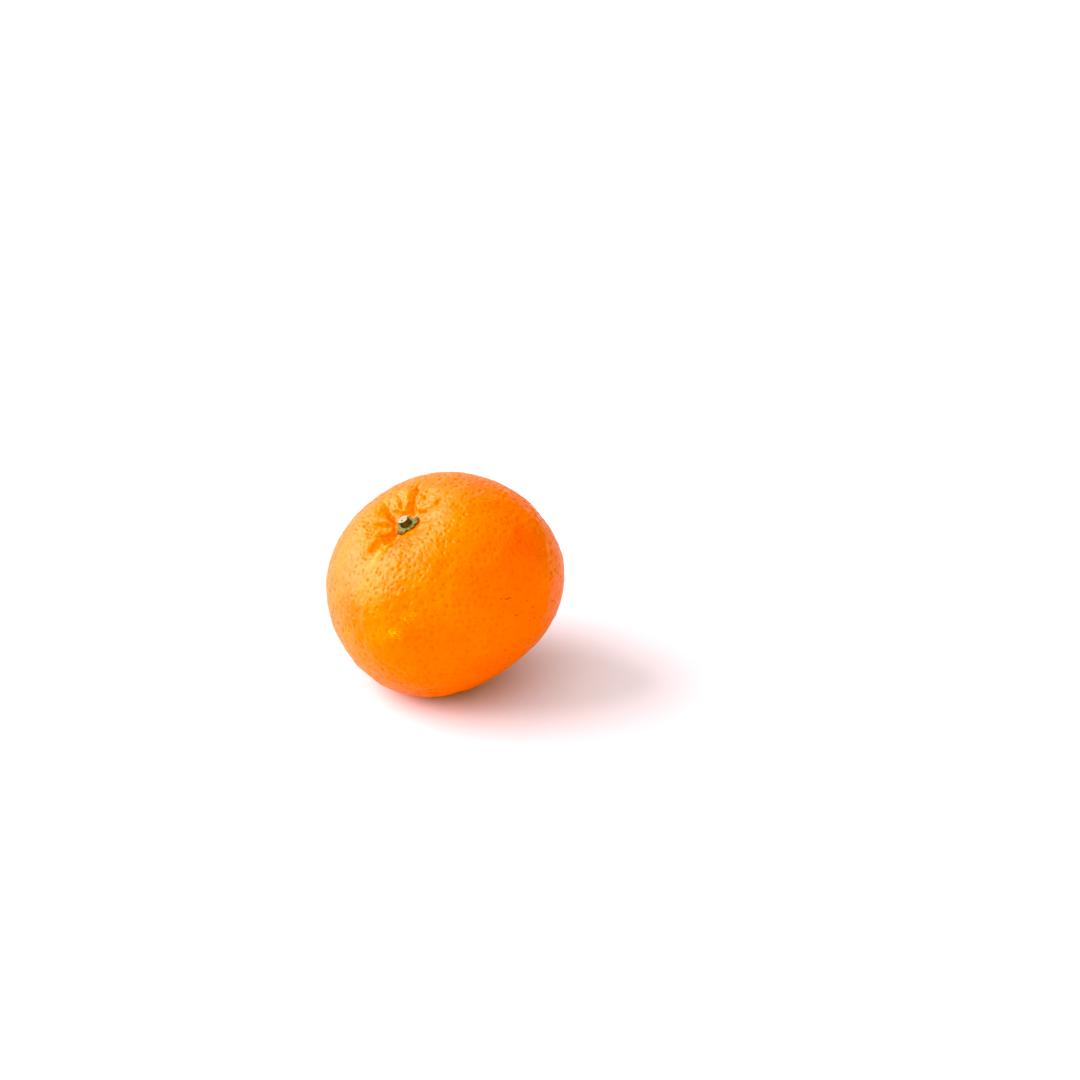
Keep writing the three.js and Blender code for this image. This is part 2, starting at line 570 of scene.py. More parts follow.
@dataclass(frozen=True)
class Pores:
    """The oil glands, each a small pit in the skin.

    Attributes:
        count: How many there are on the whole fruit.
        seed: Start of their random draws.
        shake: How unevenly they lie, as a share of their spacing.
        large_share: Share of them that are large.
        small_sizes: The sizes of the small ones, as shares from smallest to largest.
        large_sizes: The sizes of the large ones.
        radius: Smallest and largest pit radius, in millimetres.
        depth: Smallest and largest pit depth, in millimetres.
        first_out: Distance from the core at which they start on the stem end.
        weaker_within: Distances from the core over which they grow to full strength.
        weakest: Their strength next to the calyx.
        faintest: How strongly the shallowest pit is coloured, 1 being the deepest; the colour
            is partly the gland's own deeper tone and partly painted shade that grows with the
            pit's depth.
        steepness: Power of the bowl, higher for a narrower pit.
        search_room: How much further than its radius a pit's vertices are looked for.
    """

    count: int = 3800
    seed: int = 11
    shake: float = 0.24
    large_share: float = 0.55
    small_sizes: tuple[float, float] = (0.0, 0.35)
    large_sizes: tuple[float, float] = (0.6, 1.0)
    radius: tuple[float, float] = (0.36, 0.64)
    depth: tuple[float, float] = (0.06, 0.28)
    first_out: float = 4.0
    weaker_within: tuple[float, float] = (5.0, 12.0)
    weakest: float = 0.80
    faintest: float = 0.4
    steepness: float = 1.5
    search_room: float = 1.15

    def directions(self) -> np.ndarray:
        """Where they are.

        Returns:
            Even, slightly shaken directions from the middle of the fruit.
        """
        order = np.arange(self.count) + 0.5
        even = around(
            np.arccos(1.0 - 2.0 * order / self.count),
            order * math.pi * (3.0 - math.sqrt(5.0)),
        )
        draws = np.random.default_rng(self.seed)
        spacing = math.sqrt(4.0 * math.pi / self.count)
        shaken = even + draws.normal(0.0, self.shake * spacing, even.shape)
        return shaken / np.linalg.norm(shaken, axis=1)[:, None]

    def sizes(self) -> np.ndarray:
        """How large they are.

        Returns:
            Shares from 0 for the smallest pore to 1 for the largest.
        """
        draws = np.random.default_rng(self.seed + 1)
        large = draws.random(self.count) < self.large_share
        small_size = draws.uniform(*self.small_sizes, self.count)
        large_size = draws.uniform(*self.large_sizes, self.count)
        return np.where(large, large_size, small_size)

    def pressed(
        self, points: np.ndarray, directions: np.ndarray
    ) -> tuple[np.ndarray, np.ndarray]:
        """Works out every pit.

        Args:
            points: The skin's points.
            directions: The pores' directions.

        Returns:
            Shares of being in a pit, which colour the pit partly as the gland's own tone and
            partly as painted shade in its hollow, and depths in millimetres.
        """
        tree = kdtree.KDTree(len(points))
        units = points / np.linalg.norm(points, axis=1)[:, None]
        for index, unit in enumerate(units):
            tree.insert(unit, index)
        tree.balance()
        pits = np.zeros(len(points))
        depth = np.zeros(len(points))
        for pore, size in zip(directions, self.sizes()):
            middle = points[tree.find(pore)[1]]
            out = math.hypot(middle[0], middle[1])
            if pore[2] > 0 and out < self.first_out:
                continue
            radius = self.radius[0] + (self.radius[1] - self.radius[0]) * size
            strength = size
            if pore[2] > 0:
                grown = float(smooth_step(*self.weaker_within, out))
                strength *= self.weakest + (1.0 - self.weakest) * grown
            reach = radius / np.linalg.norm(middle) * self.search_room
            found = [hit[1] for hit in tree.find_range(pore, reach)]
            if not found:
                continue
            gap = np.linalg.norm(points[found] - middle, axis=1) / radius
            bowl = np.clip(1.0 - gap**2, 0.0, 1.0) ** self.steepness
            # A deeper pit is painted darker: partly the gland's own tone, partly painted shade
            # in its hollow.
            tint = self.faintest + (1.0 - self.faintest) * strength
            deepest = self.depth[0] + (self.depth[1] - self.depth[0]) * strength
            pits[found] = np.maximum(pits[found], bowl * tint)
            depth[found] = np.maximum(depth[found], bowl * deepest)
        return pits, depth


@dataclass(frozen=True)
class ScuffAndHighlight:
    """A rub mark painted pale yellow: partly wear, partly painted highlight.

    Attributes:
        polar: Its angle from the stem end, in degrees.
        azimuth: Its azimuth, in degrees.
        reach: Half of its length round the fruit, in degrees.
        strength: How much of the colour it takes.
    """

    polar: float
    azimuth: float
    reach: float
    strength: float


@dataclass(frozen=True)
class Scratch:
    """A thin brown scratch, or a dot where it has one point.

    Attributes:
        path: Its (polar, azimuth) points in degrees.
        strength: How dark it is, from 0 to 1.
    """

    path: tuple[tuple[float, float], ...]
    strength: float = 1.0

    def directions(self, step: float) -> np.ndarray:
        """Close directions along it.

        Args:
            step: The angle between them, in degrees.

        Returns:
            Unit directions, one row each.
        """
        polar = np.array([spot[0] for spot in self.path], float)
        azimuth = np.array([spot[1] for spot in self.path], float)
        across = np.diff(azimuth) * np.sin(np.radians(polar[:-1]))
        reached = np.concatenate([[0.0], np.cumsum(np.hypot(np.diff(polar), across))])
        steps = np.linspace(0.0, reached[-1], int(reached[-1] / step) + 1)
        polar = np.radians(np.interp(steps, reached, polar))
        azimuth = np.radians(np.interp(steps, reached, azimuth))
        return around(polar, azimuth)


@dataclass(frozen=True)
class Marks:
    """The wear on the rind: rub marks painted pale with painted highlight, scratches and small
    brown dots.

    Attributes:
        scuffs_and_highlights: The rub marks, painted pale, partly as painted highlight.
        scratches: The scratches and the dots that stand out.
        loose_dots: How many faint dots lie scattered all over.
        loose_darkness: How dark the faintest and the darkest of them are.
        seed: Start of the random draws for the scattered dots.
        step: Angle between close points along a scratch, in degrees.
        flattening: How much shorter a rub mark is along the core than round it.
        worn_at: Polar angle and azimuth of the middle of the worn side, in degrees.
        worn_reach: How far the worn side spreads, in degrees.
        scar_edge: Angles over which the blossom scar's edge fades, in degrees.
        underside_tone_and_shade_from: Polar angles over which the blossom side, which lies
            underneath, turns deeper orange, partly its own tone and partly painted shade, in
            degrees.
    """

    # Rub marks painted pale yellow: partly wear, partly painted highlight where light catches
    # small dents.
    scuffs_and_highlights: tuple[ScuffAndHighlight, ...] = (
        ScuffAndHighlight(65.0, 36.0, 3.8, 1.0),
        ScuffAndHighlight(59.0, 46.0, 3.4, 0.60),
        ScuffAndHighlight(48.0, 44.0, 2.0, 0.30),
        ScuffAndHighlight(58.0, 17.0, 2.2, 0.20),
        ScuffAndHighlight(84.0, 230.0, 3.4, 0.60),
        ScuffAndHighlight(71.0, 190.0, 2.6, 0.35),
        ScuffAndHighlight(120.0, 285.0, 3.0, 0.45),
    )
    scratches: tuple[Scratch, ...] = (
        Scratch(((73.4, 92.2),), 0.9),
        Scratch(((75.2, 93.6), (76.0, 94.4), (76.1, 95.6)), 0.8),
        Scratch(((85.0, 92.6), (85.6, 93.6)), 0.7),
        Scratch(((97.4, 113.0), (98.6, 114.6)), 0.8),
        Scratch(((98.0, 80.0),), 0.8),
        Scratch(((106.0, 80.0),), 1.0),
        Scratch(((105.0, 94.0),), 0.8),
        Scratch(((94.0, 100.0),), 0.7),
        Scratch(((89.0, 102.0),), 0.7),
        Scratch(((101.0, 115.0), (101.8, 115.8)), 0.9),
        Scratch(((105.0, 117.0),), 0.9),
        Scratch(((110.0, 115.0),), 0.8),
        Scratch(((105.0, 108.0),), 0.7),
        Scratch(((92.0, 57.0),), 0.6),
        Scratch(((113.0, 58.0),), 0.8),
        Scratch(((110.0, 55.0),), 0.6),
        Scratch(((90.0, 128.0),), 0.8),
        Scratch(((87.0, 121.0),), 0.7),
        Scratch(((77.0, 122.0),), 0.6),
        Scratch(((102.0, 38.0),), 0.7),
        Scratch(((88.0, 214.0), (89.6, 215.6), (90.4, 217.8)), 0.8),
        Scratch(((66.0, 252.0), (67.4, 252.4)), 0.6),
    )
    loose_dots: int = 46
    loose_darkness: tuple[float, float] = (0.2, 0.6)
    seed: int = 5
    step: float = 0.62
    flattening: float = 1.7
    worn_at: tuple[float, float] = (97.0, 105.0)
    worn_reach: float = 30.0
    scar_edge: tuple[float, float] = (2.0, 3.2)
    underside_tone_and_shade_from: tuple[float, float] = (74.0, 122.0)

    def brown_spots(self) -> tuple[np.ndarray, np.ndarray]:
        """Where the rind is brown.

        Returns:
            Unit directions, and how dark each one is.
        """
        rows = [scratch.directions(self.step) for scratch in self.scratches]
        dark = [np.full(len(r), s.strength) for r, s in zip(rows, self.scratches)]
        draws = np.random.default_rng(self.seed)
        loose = draws.normal(size=(self.loose_dots, 3))
        rows.append(loose / np.linalg.norm(loose, axis=1)[:, None])
        dark.append(draws.uniform(*self.loose_darkness, self.loose_dots))
        return np.concatenate(rows), np.concatenate(dark)

    def paint(self, piece: bpy.types.Object, directions: np.ndarray) -> None:
        """Paints the rub marks with their painted highlight, the worn side, the blossom side's
        deeper orange and painted shade, and its scar.

        Args:
            piece: The rind.
            directions: Its vertices' directions in the fruit's own frame.
        """
        polar = np.degrees(np.arccos(np.clip(directions[:, 2], -1.0, 1.0)))
        azimuth = np.degrees(np.arctan2(directions[:, 1], directions[:, 0]))
        girth = np.sin(np.radians(polar))
        scuffed_and_lit = np.zeros(len(directions))
        # Rub marks: partly wear, partly painted highlight.
        for spot in self.scuffs_and_highlights:
            across = azimuth_gap(azimuth, spot.azimuth) * girth
            gap = np.hypot((polar - spot.polar) * self.flattening, across)
            scuffed_and_lit = np.maximum(scuffed_and_lit, spot.strength * bump(gap, spot.reach))
        across = azimuth_gap(azimuth, self.worn_at[1]) * girth
        worn = bump(np.hypot(across, polar - self.worn_at[0]), self.worn_reach)
        Workbench.paint(piece, "scuff_and_highlight", scuffed_and_lit)
        Workbench.paint(piece, "worn", worn)
        # The blossom side, lying underneath, is painted deeper orange: partly its own tone,
        # partly painted shade.
        Workbench.paint(piece, "underside_tone_and_shade", smooth_step(*self.underside_tone_and_shade_from, polar))
        Workbench.paint(piece, "scar", 1.0 - smooth_step(*self.scar_edge, 180.0 - polar))


@dataclass(frozen=True)
class Lump:
    """Soft random swellings.

    Attributes:
        height: Their height, in millimetres.
        size: Their size across, in millimetres.
        shift: Moves them, so that several sizes don't line up.
        stem_end_only: Whether they are only round the calyx.
    """

    height: float
    size: float
    shift: float
    stem_end_only: bool = False

    def relief(self, points: np.ndarray) -> np.ndarray:
        """How high they stand at points in space, in millimetres."""
        return self.height * roughness_at(points, self.size, self.shift)


@dataclass
class Rind:
    """The fruit's skin, shaped from a cut cube.

    Attributes:
        form: Its smooth form.
        lie: How the fruit lies.
        pores: Its oil glands.
        marks: Its wear.
        folds: Its valleys and ridges round the calyx.
        lumps: Its soft swellings.
        allowance: How far the skin is drawn in to make room for them, in millimetres.
        halvings: How often the cube's faces are halved.
        stem_crowding: How much closer its vertices lie at the stem end, 1 for not at all.
        fold_reach: Distance from the core within which folds are looked for.
        fold_wander: How the folds waver.
        fold_start: Distances from the core over which folds grow out of the calyx's seat.
        stem_end_edge: Distances over which the stem end's own lumps fade.
        middle: The fruit's middle in the part's frame, in millimetres, once it is built.
    """

    form: SkinForm
    lie: Lie
    pores: Pores
    marks: Marks
    folds: tuple[Fold, ...] = FOLDS
    lumps: tuple[Lump, ...] = (
        Lump(0.20, 8.0, 0.0),
        Lump(0.16, 3.6, 9.0),
        Lump(0.11, 1.7, 21.0),
        Lump(0.17, 1.15, 33.0, stem_end_only=True),
        Lump(0.12, 2.4, 41.0, stem_end_only=True),
    )
    allowance: float = 0.15
    halvings: int = 7
    stem_crowding: float = 1.25
    fold_reach: float = 22.0
    fold_wander: Lump = Lump(0.42, 2.4, 4.0)
    fold_start: tuple[float, float] = (1.6, 3.4)
    stem_end_edge: tuple[float, float] = (10.0, 17.0)
    middle: np.ndarray = field(default_factory=lambda: np.zeros(3))

    def blank(self) -> bpy.types.Object:
        """A cube cut into small even squares, ready to be drawn out into the fruit.

        Returns:
            The new piece.
        """
        Workbench.clear()
        bpy.ops.mesh.primitive_cube_add(size=2.0)
        piece = Workbench.named("mandarin_rind")
        bpy.ops.object.mode_set(mode="EDIT")
        bpy.ops.mesh.select_all(action="SELECT")
        for _ in range(self.halvings):
            bpy.ops.mesh.subdivide(number_cuts=1)
        bpy.ops.object.mode_set(mode="OBJECT")
        bpy.ops.object.shade_smooth()
        return piece

    def even_directions(self, cube_points: np.ndarray) -> np.ndarray:
        """Directions for the cube's vertices, evened out and crowded to the stem end.

        Args:
            cube_points: Vertices of the cut cube.

        Returns:
            Unit directions, one row each.
        """
        spread = np.tan(cube_points * (math.pi / 4.0))
        spread /= np.linalg.norm(spread, axis=1)[:, None]
        polar = np.arccos(np.clip(spread[:, 2], -1.0, 1.0))
        azimuth = np.arctan2(spread[:, 1], spread[:, 0])
        return around(math.pi * (polar / math.pi) ** self.stem_crowding, azimuth)

    def settle(
        self, directions: np.ndarray, spots: np.ndarray
    ) -> tuple[np.ndarray, np.ndarray]:
        """Moves the nearest vertex onto each spot, so that it has its own middle.

        Args:
            directions: The vertices' directions.
            spots: The directions of pores or marks.

        Returns:
            The new directions, and the vertex that each spot took.
        """
        tree = kdtree.KDTree(len(directions))
        for index, direction in enumerate(directions):
            tree.insert(direction, index)
        tree.balance()
        settled = directions.copy()
        taken = np.array([tree.find(spot)[1] for spot in spots])
        settled[taken] = spots
        return settled, taken

    def fold(self, piece: bpy.types.Object, points: np.ndarray) -> np.ndarray:
        """Presses and raises the folds over the stem end, and paints where they are.

        Args:
            piece: The rind, with its vertices at the points.
            points: Points of the smooth skin.

        Returns:
            The folded points.
        """
        height, valley, pale, crease = (np.zeros(len(points)) for _ in range(4))
        out = np.hypot(points[:, 0], points[:, 1])
        near = np.flatnonzero((out < self.fold_reach) & (points[:, 2] > 0.0))
        wander = self.fold_wander.relief(points[near])
        spots = points[near, :2] + np.stack([wander, -wander], axis=1)
        for fold in self.folds:
            share, keen = fold.share(spots)
            height[near] += fold.relief.value * fold.height * share
            # Ridges are painted pale yellow: partly their own yellowed tone, partly painted
            # highlight.
            pale[near] = np.maximum(pale[near], fold.pale * share)
            # The sharp creases are painted as dark lines: painted shade.
            crease[near] = np.maximum(crease[near], keen)
            # Valleys are painted darker, more where they are deeper: painted shade.
            if fold.relief is Relief.VALLEY:
                valley[near] = np.maximum(valley[near], share * min(fold.height, 1.0))
        for mask, values in (("valley", valley), ("pale", pale), ("crease", crease)):
            Workbench.paint(piece, mask, values)
        height = height * smooth_step(*self.fold_start, out)
        return points + Workbench.normals(piece) * height[:, None]

    def pebble(
        self, piece: bpy.types.Object, points: np.ndarray, pores: np.ndarray
    ) -> np.ndarray:
        """Raises the lumps and presses the pores in.

        Args:
            piece: The rind, with its vertices at the points.
            points: The folded points.
            pores: The pores' directions.

        Returns:
            The pebbled points.
        """
        out = np.hypot(points[:, 0], points[:, 1])
        near_stem = (points[:, 2] > 0.0) * (1.0 - smooth_step(*self.stem_end_edge, out))
        height = np.full(len(points), -self.allowance)
        for lump in self.lumps:
            swelling = lump.relief(points)
            height += swelling * near_stem if lump.stem_end_only else swelling
        pits, depth = self.pores.pressed(points, pores)
        # The pit mask darkens every pit: partly the gland's own tone, partly painted shade in
        # its hollow.
        Workbench.paint(piece, "pit", pits)
        return points + Workbench.normals(piece) * (height - depth)[:, None]

    def build(self) -> bpy.types.Object:
        """Shapes the rind, paints the masks of its finish and lays it on its seat.

        Returns:
            The finished mesh.
        """
        piece = self.blank()
        pores = self.pores.directions()
        brown_spots, dark = self.marks.brown_spots()
        directions = self.even_directions(Workbench.points(piece))
        directions, _ = self.settle(directions, pores)
        directions, marked = self.settle(directions, brown_spots)
        points = self.form.points(directions, self.lie.down)
        self.middle[2] = (points @ self.lie.down).max() - self.lie.seat_depth

        Workbench.place(piece, points)
        points = self.fold(piece, points)
        Workbench.place(piece, points)
        points = self.pebble(piece, points, pores)
        points = self.lie.turned(points) + self.middle
        points[:, 2] = soft_floor(points[:, 2], self.lie.seat_round)
        Workbench.place(piece, points * MM)

        brown = np.zeros(len(directions))
        brown[marked] = dark
        Workbench.paint(piece, "brown", brown)
        self.marks.paint(piece, directions)
        return piece

    def dress(self, piece: bpy.types.Object, groups: "Groups") -> None:
        """Gives the rind its finish and its part."""
        Part.FRUIT.put_in_place(piece, RindFinish().material(groups))


@dataclass(frozen=True)
class CalyxLobe:
    """One of the calyx's broad points: its azimuth, reach and half-width."""

    at: float
    reach: float
    half_width: float


@dataclass
class Calyx:
    """The dry star that lies in the hollow at the stem end.

    Attributes:
        rind: The rind that it lies on.
        base_radius: How far the star reaches between its points, in millimetres.
        lobes: Its points.
        bluntness: Power of a point's outline, higher for a blunter one.
        notch_depth: Depth of the notch in a point's end.
        notch_width: How wide that notch is, as a share of the point.
        ragged: How ragged its edge is.
        ragged_radius: Radius of the ring on which that is looked up.
        rise: Height of its upper side above the skin, in millimetres.
        clearance: Extra room between it and the skin.
        sheet: How thick the dry skin itself is.
        ribs: How many ribs it has.
        rib_height: Height of its ribs.
        rib_span: Distances from the core over which they grow.
        crumples: Its crumpling.
        relief_span: Shares of its reach over which ribs and crumpling set in.
        curl: How much its edge curls up.
        curl_span: Shares of its reach over which it curls.
        curl_margin: How much further than the star's body a point reaches to curl.
        droop: Share of its rise that it loses at its edge.
        droop_span: Shares of its reach over which it droops.
        edge_brown: How brown its edge is, 1 being all brown.
        edge_span: Shares of its reach over which that sets in.
        end_width: How wide the brown end of a point is, as a share of the point.
        end_span: Shares of its reach over which a point's end turns brown.
        stem_foot_shade_span: Distances from the core over which the painted shade round the
            stem's foot ends.
        rings: How many rings it is drawn from.
        segments: How many segments each ring has.
    """

    rind: Rind
    base_radius: float = 2.4
    lobes: tuple[CalyxLobe, ...] = (
        CalyxLobe(20.0, 3.85, 31.0),
        CalyxLobe(84.0, 3.3, 26.0),
        CalyxLobe(146.0, 3.45, 34.0),
        CalyxLobe(222.0, 2.9, 26.0),
        CalyxLobe(300.0, 2.8, 26.0),
    )
    bluntness: float = 3.2
    notch_depth: float = 0.22
    notch_width: float = 0.22
    ragged: Lump = Lump(0.07, 0.35, 3.0)
    ragged_radius: float = 3.0
    rise: float = 0.55
    clearance: float = 0.12
    sheet: float = 0.4
    ribs: int = 15
    rib_height: float = 0.10
    rib_span: tuple[float, float] = (1.6, 3.2)
    crumples: tuple[Lump, ...] = (Lump(0.12, 0.9, 2.0), Lump(0.048, 0.4, 7.0))
    relief_span: tuple[float, float] = (0.2, 0.5)
    curl: float = 0.11
    curl_span: tuple[float, float] = (0.72, 1.0)
    curl_margin: float = 0.3
    droop: float = 0.45
    droop_span: tuple[float, float] = (0.55, 1.0)
    edge_brown: float = 0.35
    edge_span: tuple[float, float] = (0.80, 0.98)
    end_width: float = 0.5
    end_span: tuple[float, float] = (0.66, 0.86)
    stem_foot_shade_span: tuple[float, float] = (1.75, 2.25)
    rings: int = 14
    segments: int = 200

    def reach(self, azimuth: np.ndarray) -> np.ndarray:
        """The star's outline.

        Args:
            azimuth: Azimuths in degrees.

        Returns:
            Distances from the core, in millimetres.
        """
        out = np.full(len(azimuth), self.base_radius)
        for lobe in self.lobes:
            off = azimuth_gap(azimuth, lobe.at) / lobe.half_width
            blunt = np.clip(1.0 - np.abs(off) ** self.bluntness, 0.0, 1.0)
            notch = self.notch_depth * bump(off, self.notch_width)
            lobe_edge = self.base_radius + (lobe.reach - self.base_radius) * blunt - notch
            out = np.maximum(out, lobe_edge)
        return out

    def blank(self) -> bpy.types.Object:
        """A flat round sheet of rings, drawn inwards from its edge.

        Returns:
            The new piece.
        """
        Workbench.clear()
        bpy.ops.mesh.primitive_circle_add(vertices=self.segments, radius=1.0)
        piece = Workbench.named("calyx_star")
        bpy.ops.object.mode_set(mode="EDIT")
        bpy.ops.mesh.select_all(action="SELECT")
        for ring in range(self.rings - 1, 0, -1):
            bpy.ops.mesh.extrude_edges_move()
            share = ring / (ring + 1.0)
            bpy.ops.transform.resize(value=(share, share, 1.0))
        bpy.ops.mesh.edge_face_add()
        bpy.ops.mesh.poke()
        bpy.ops.object.mode_set(mode="OBJECT")
        return piece

    def shaped(self, flat: np.ndarray) -> np.ndarray:
        """The star's upper side, lying in the hollow.

        Args:
            flat: Points of the round sheet, whose radius is 1.

        Returns:
            Points in the fruit's own frame, in millimetres.
        """
        share = np.hypot(flat[:, 0], flat[:, 1])
        turn = np.arctan2(flat[:, 1], flat[:, 0])
        level = np.zeros(len(flat))
        ring = np.stack([np.cos(turn), np.sin(turn), level], axis=1)
        edge = self.reach(np.degrees(turn)) + self.ragged.relief(self.ragged_radius * ring)
        out = share * edge
        place = np.stack([out * np.cos(turn), out * np.sin(turn), level], axis=1)
        relief = self.rib_height * np.cos(self.ribs * turn)
        relief *= smooth_step(*self.rib_span, out)
        for crumple in self.crumples:
            relief += crumple.relief(place)
        curl = self.curl * smooth_step(*self.curl_span, share)
        curl *= edge > self.base_radius + self.curl_margin
        rise = self.rise * (1.0 - self.droop * smooth_step(*self.droop_span, share))
        place[:, 2] = self.rind.form.stem_end_level(out) + self.clearance + rise
        place[:, 2] += relief * smooth_step(*self.relief_span, share) + curl
        return place

    def thicken(self, piece: bpy.types.Object) -> None:
        """Gives the sheet its thickness, downwards.

        Args:
            piece: The sheet.
        """
        bpy.ops.object.modifier_add(type="SOLIDIFY")
        solid = piece.modifiers[-1]
        solid.thickness = self.sheet
        solid.offset = -1.0 if Workbench.normals(piece)[:, 2].mean() > 0 else 1.0
        bpy.ops.object.modifier_apply(modifier=solid.name)
        Workbench.face_outwards()

    def paint(self, piece: bpy.types.Object, points: np.ndarray) -> None:
        """Paints the brown ends of the points and the painted shade round the stem's foot.

        Args:
            piece: The calyx.
            points: Its vertices in the fruit's own frame.
        """
        out = np.hypot(points[:, 0], points[:, 1])
        azimuth = np.degrees(np.arctan2(points[:, 1], points[:, 0]))
        tip = out / self.reach(azimuth)
        brown = self.edge_brown * smooth_step(*self.edge_span, tip)
        for lobe in self.lobes:
            off = azimuth_gap(azimuth, lobe.at) / lobe.half_width
            end = bump(off, self.end_width) * smooth_step(*self.end_span, tip)
            brown = np.maximum(brown, end)
        Workbench.paint(piece, "brown", brown)
        # Painted shade round the stem's foot.
        Workbench.paint(piece, "stem_foot_shade", 1.0 - smooth_step(*self.stem_foot_shade_span, out))

    def build(self) -> bpy.types.Object:
        """Draws the star, gives it its thickness and lays it in the hollow.

        Returns:
            The finished mesh.
        """
        piece = self.blank()
        Workbench.place(piece, self.shaped(Workbench.points(piece)))
        self.thicken(piece)
        points = Workbench.points(piece)
        self.paint(piece, points)
        Workbench.place(piece, (self.rind.lie.turned(points) + self.rind.middle) * MM)
        return piece

    def dress(self, piece: bpy.types.Object, groups: "Groups") -> None:
        """Gives the calyx its finish and its part."""
        Part.CALYX.put_in_place(piece, CalyxFinish().material(groups))


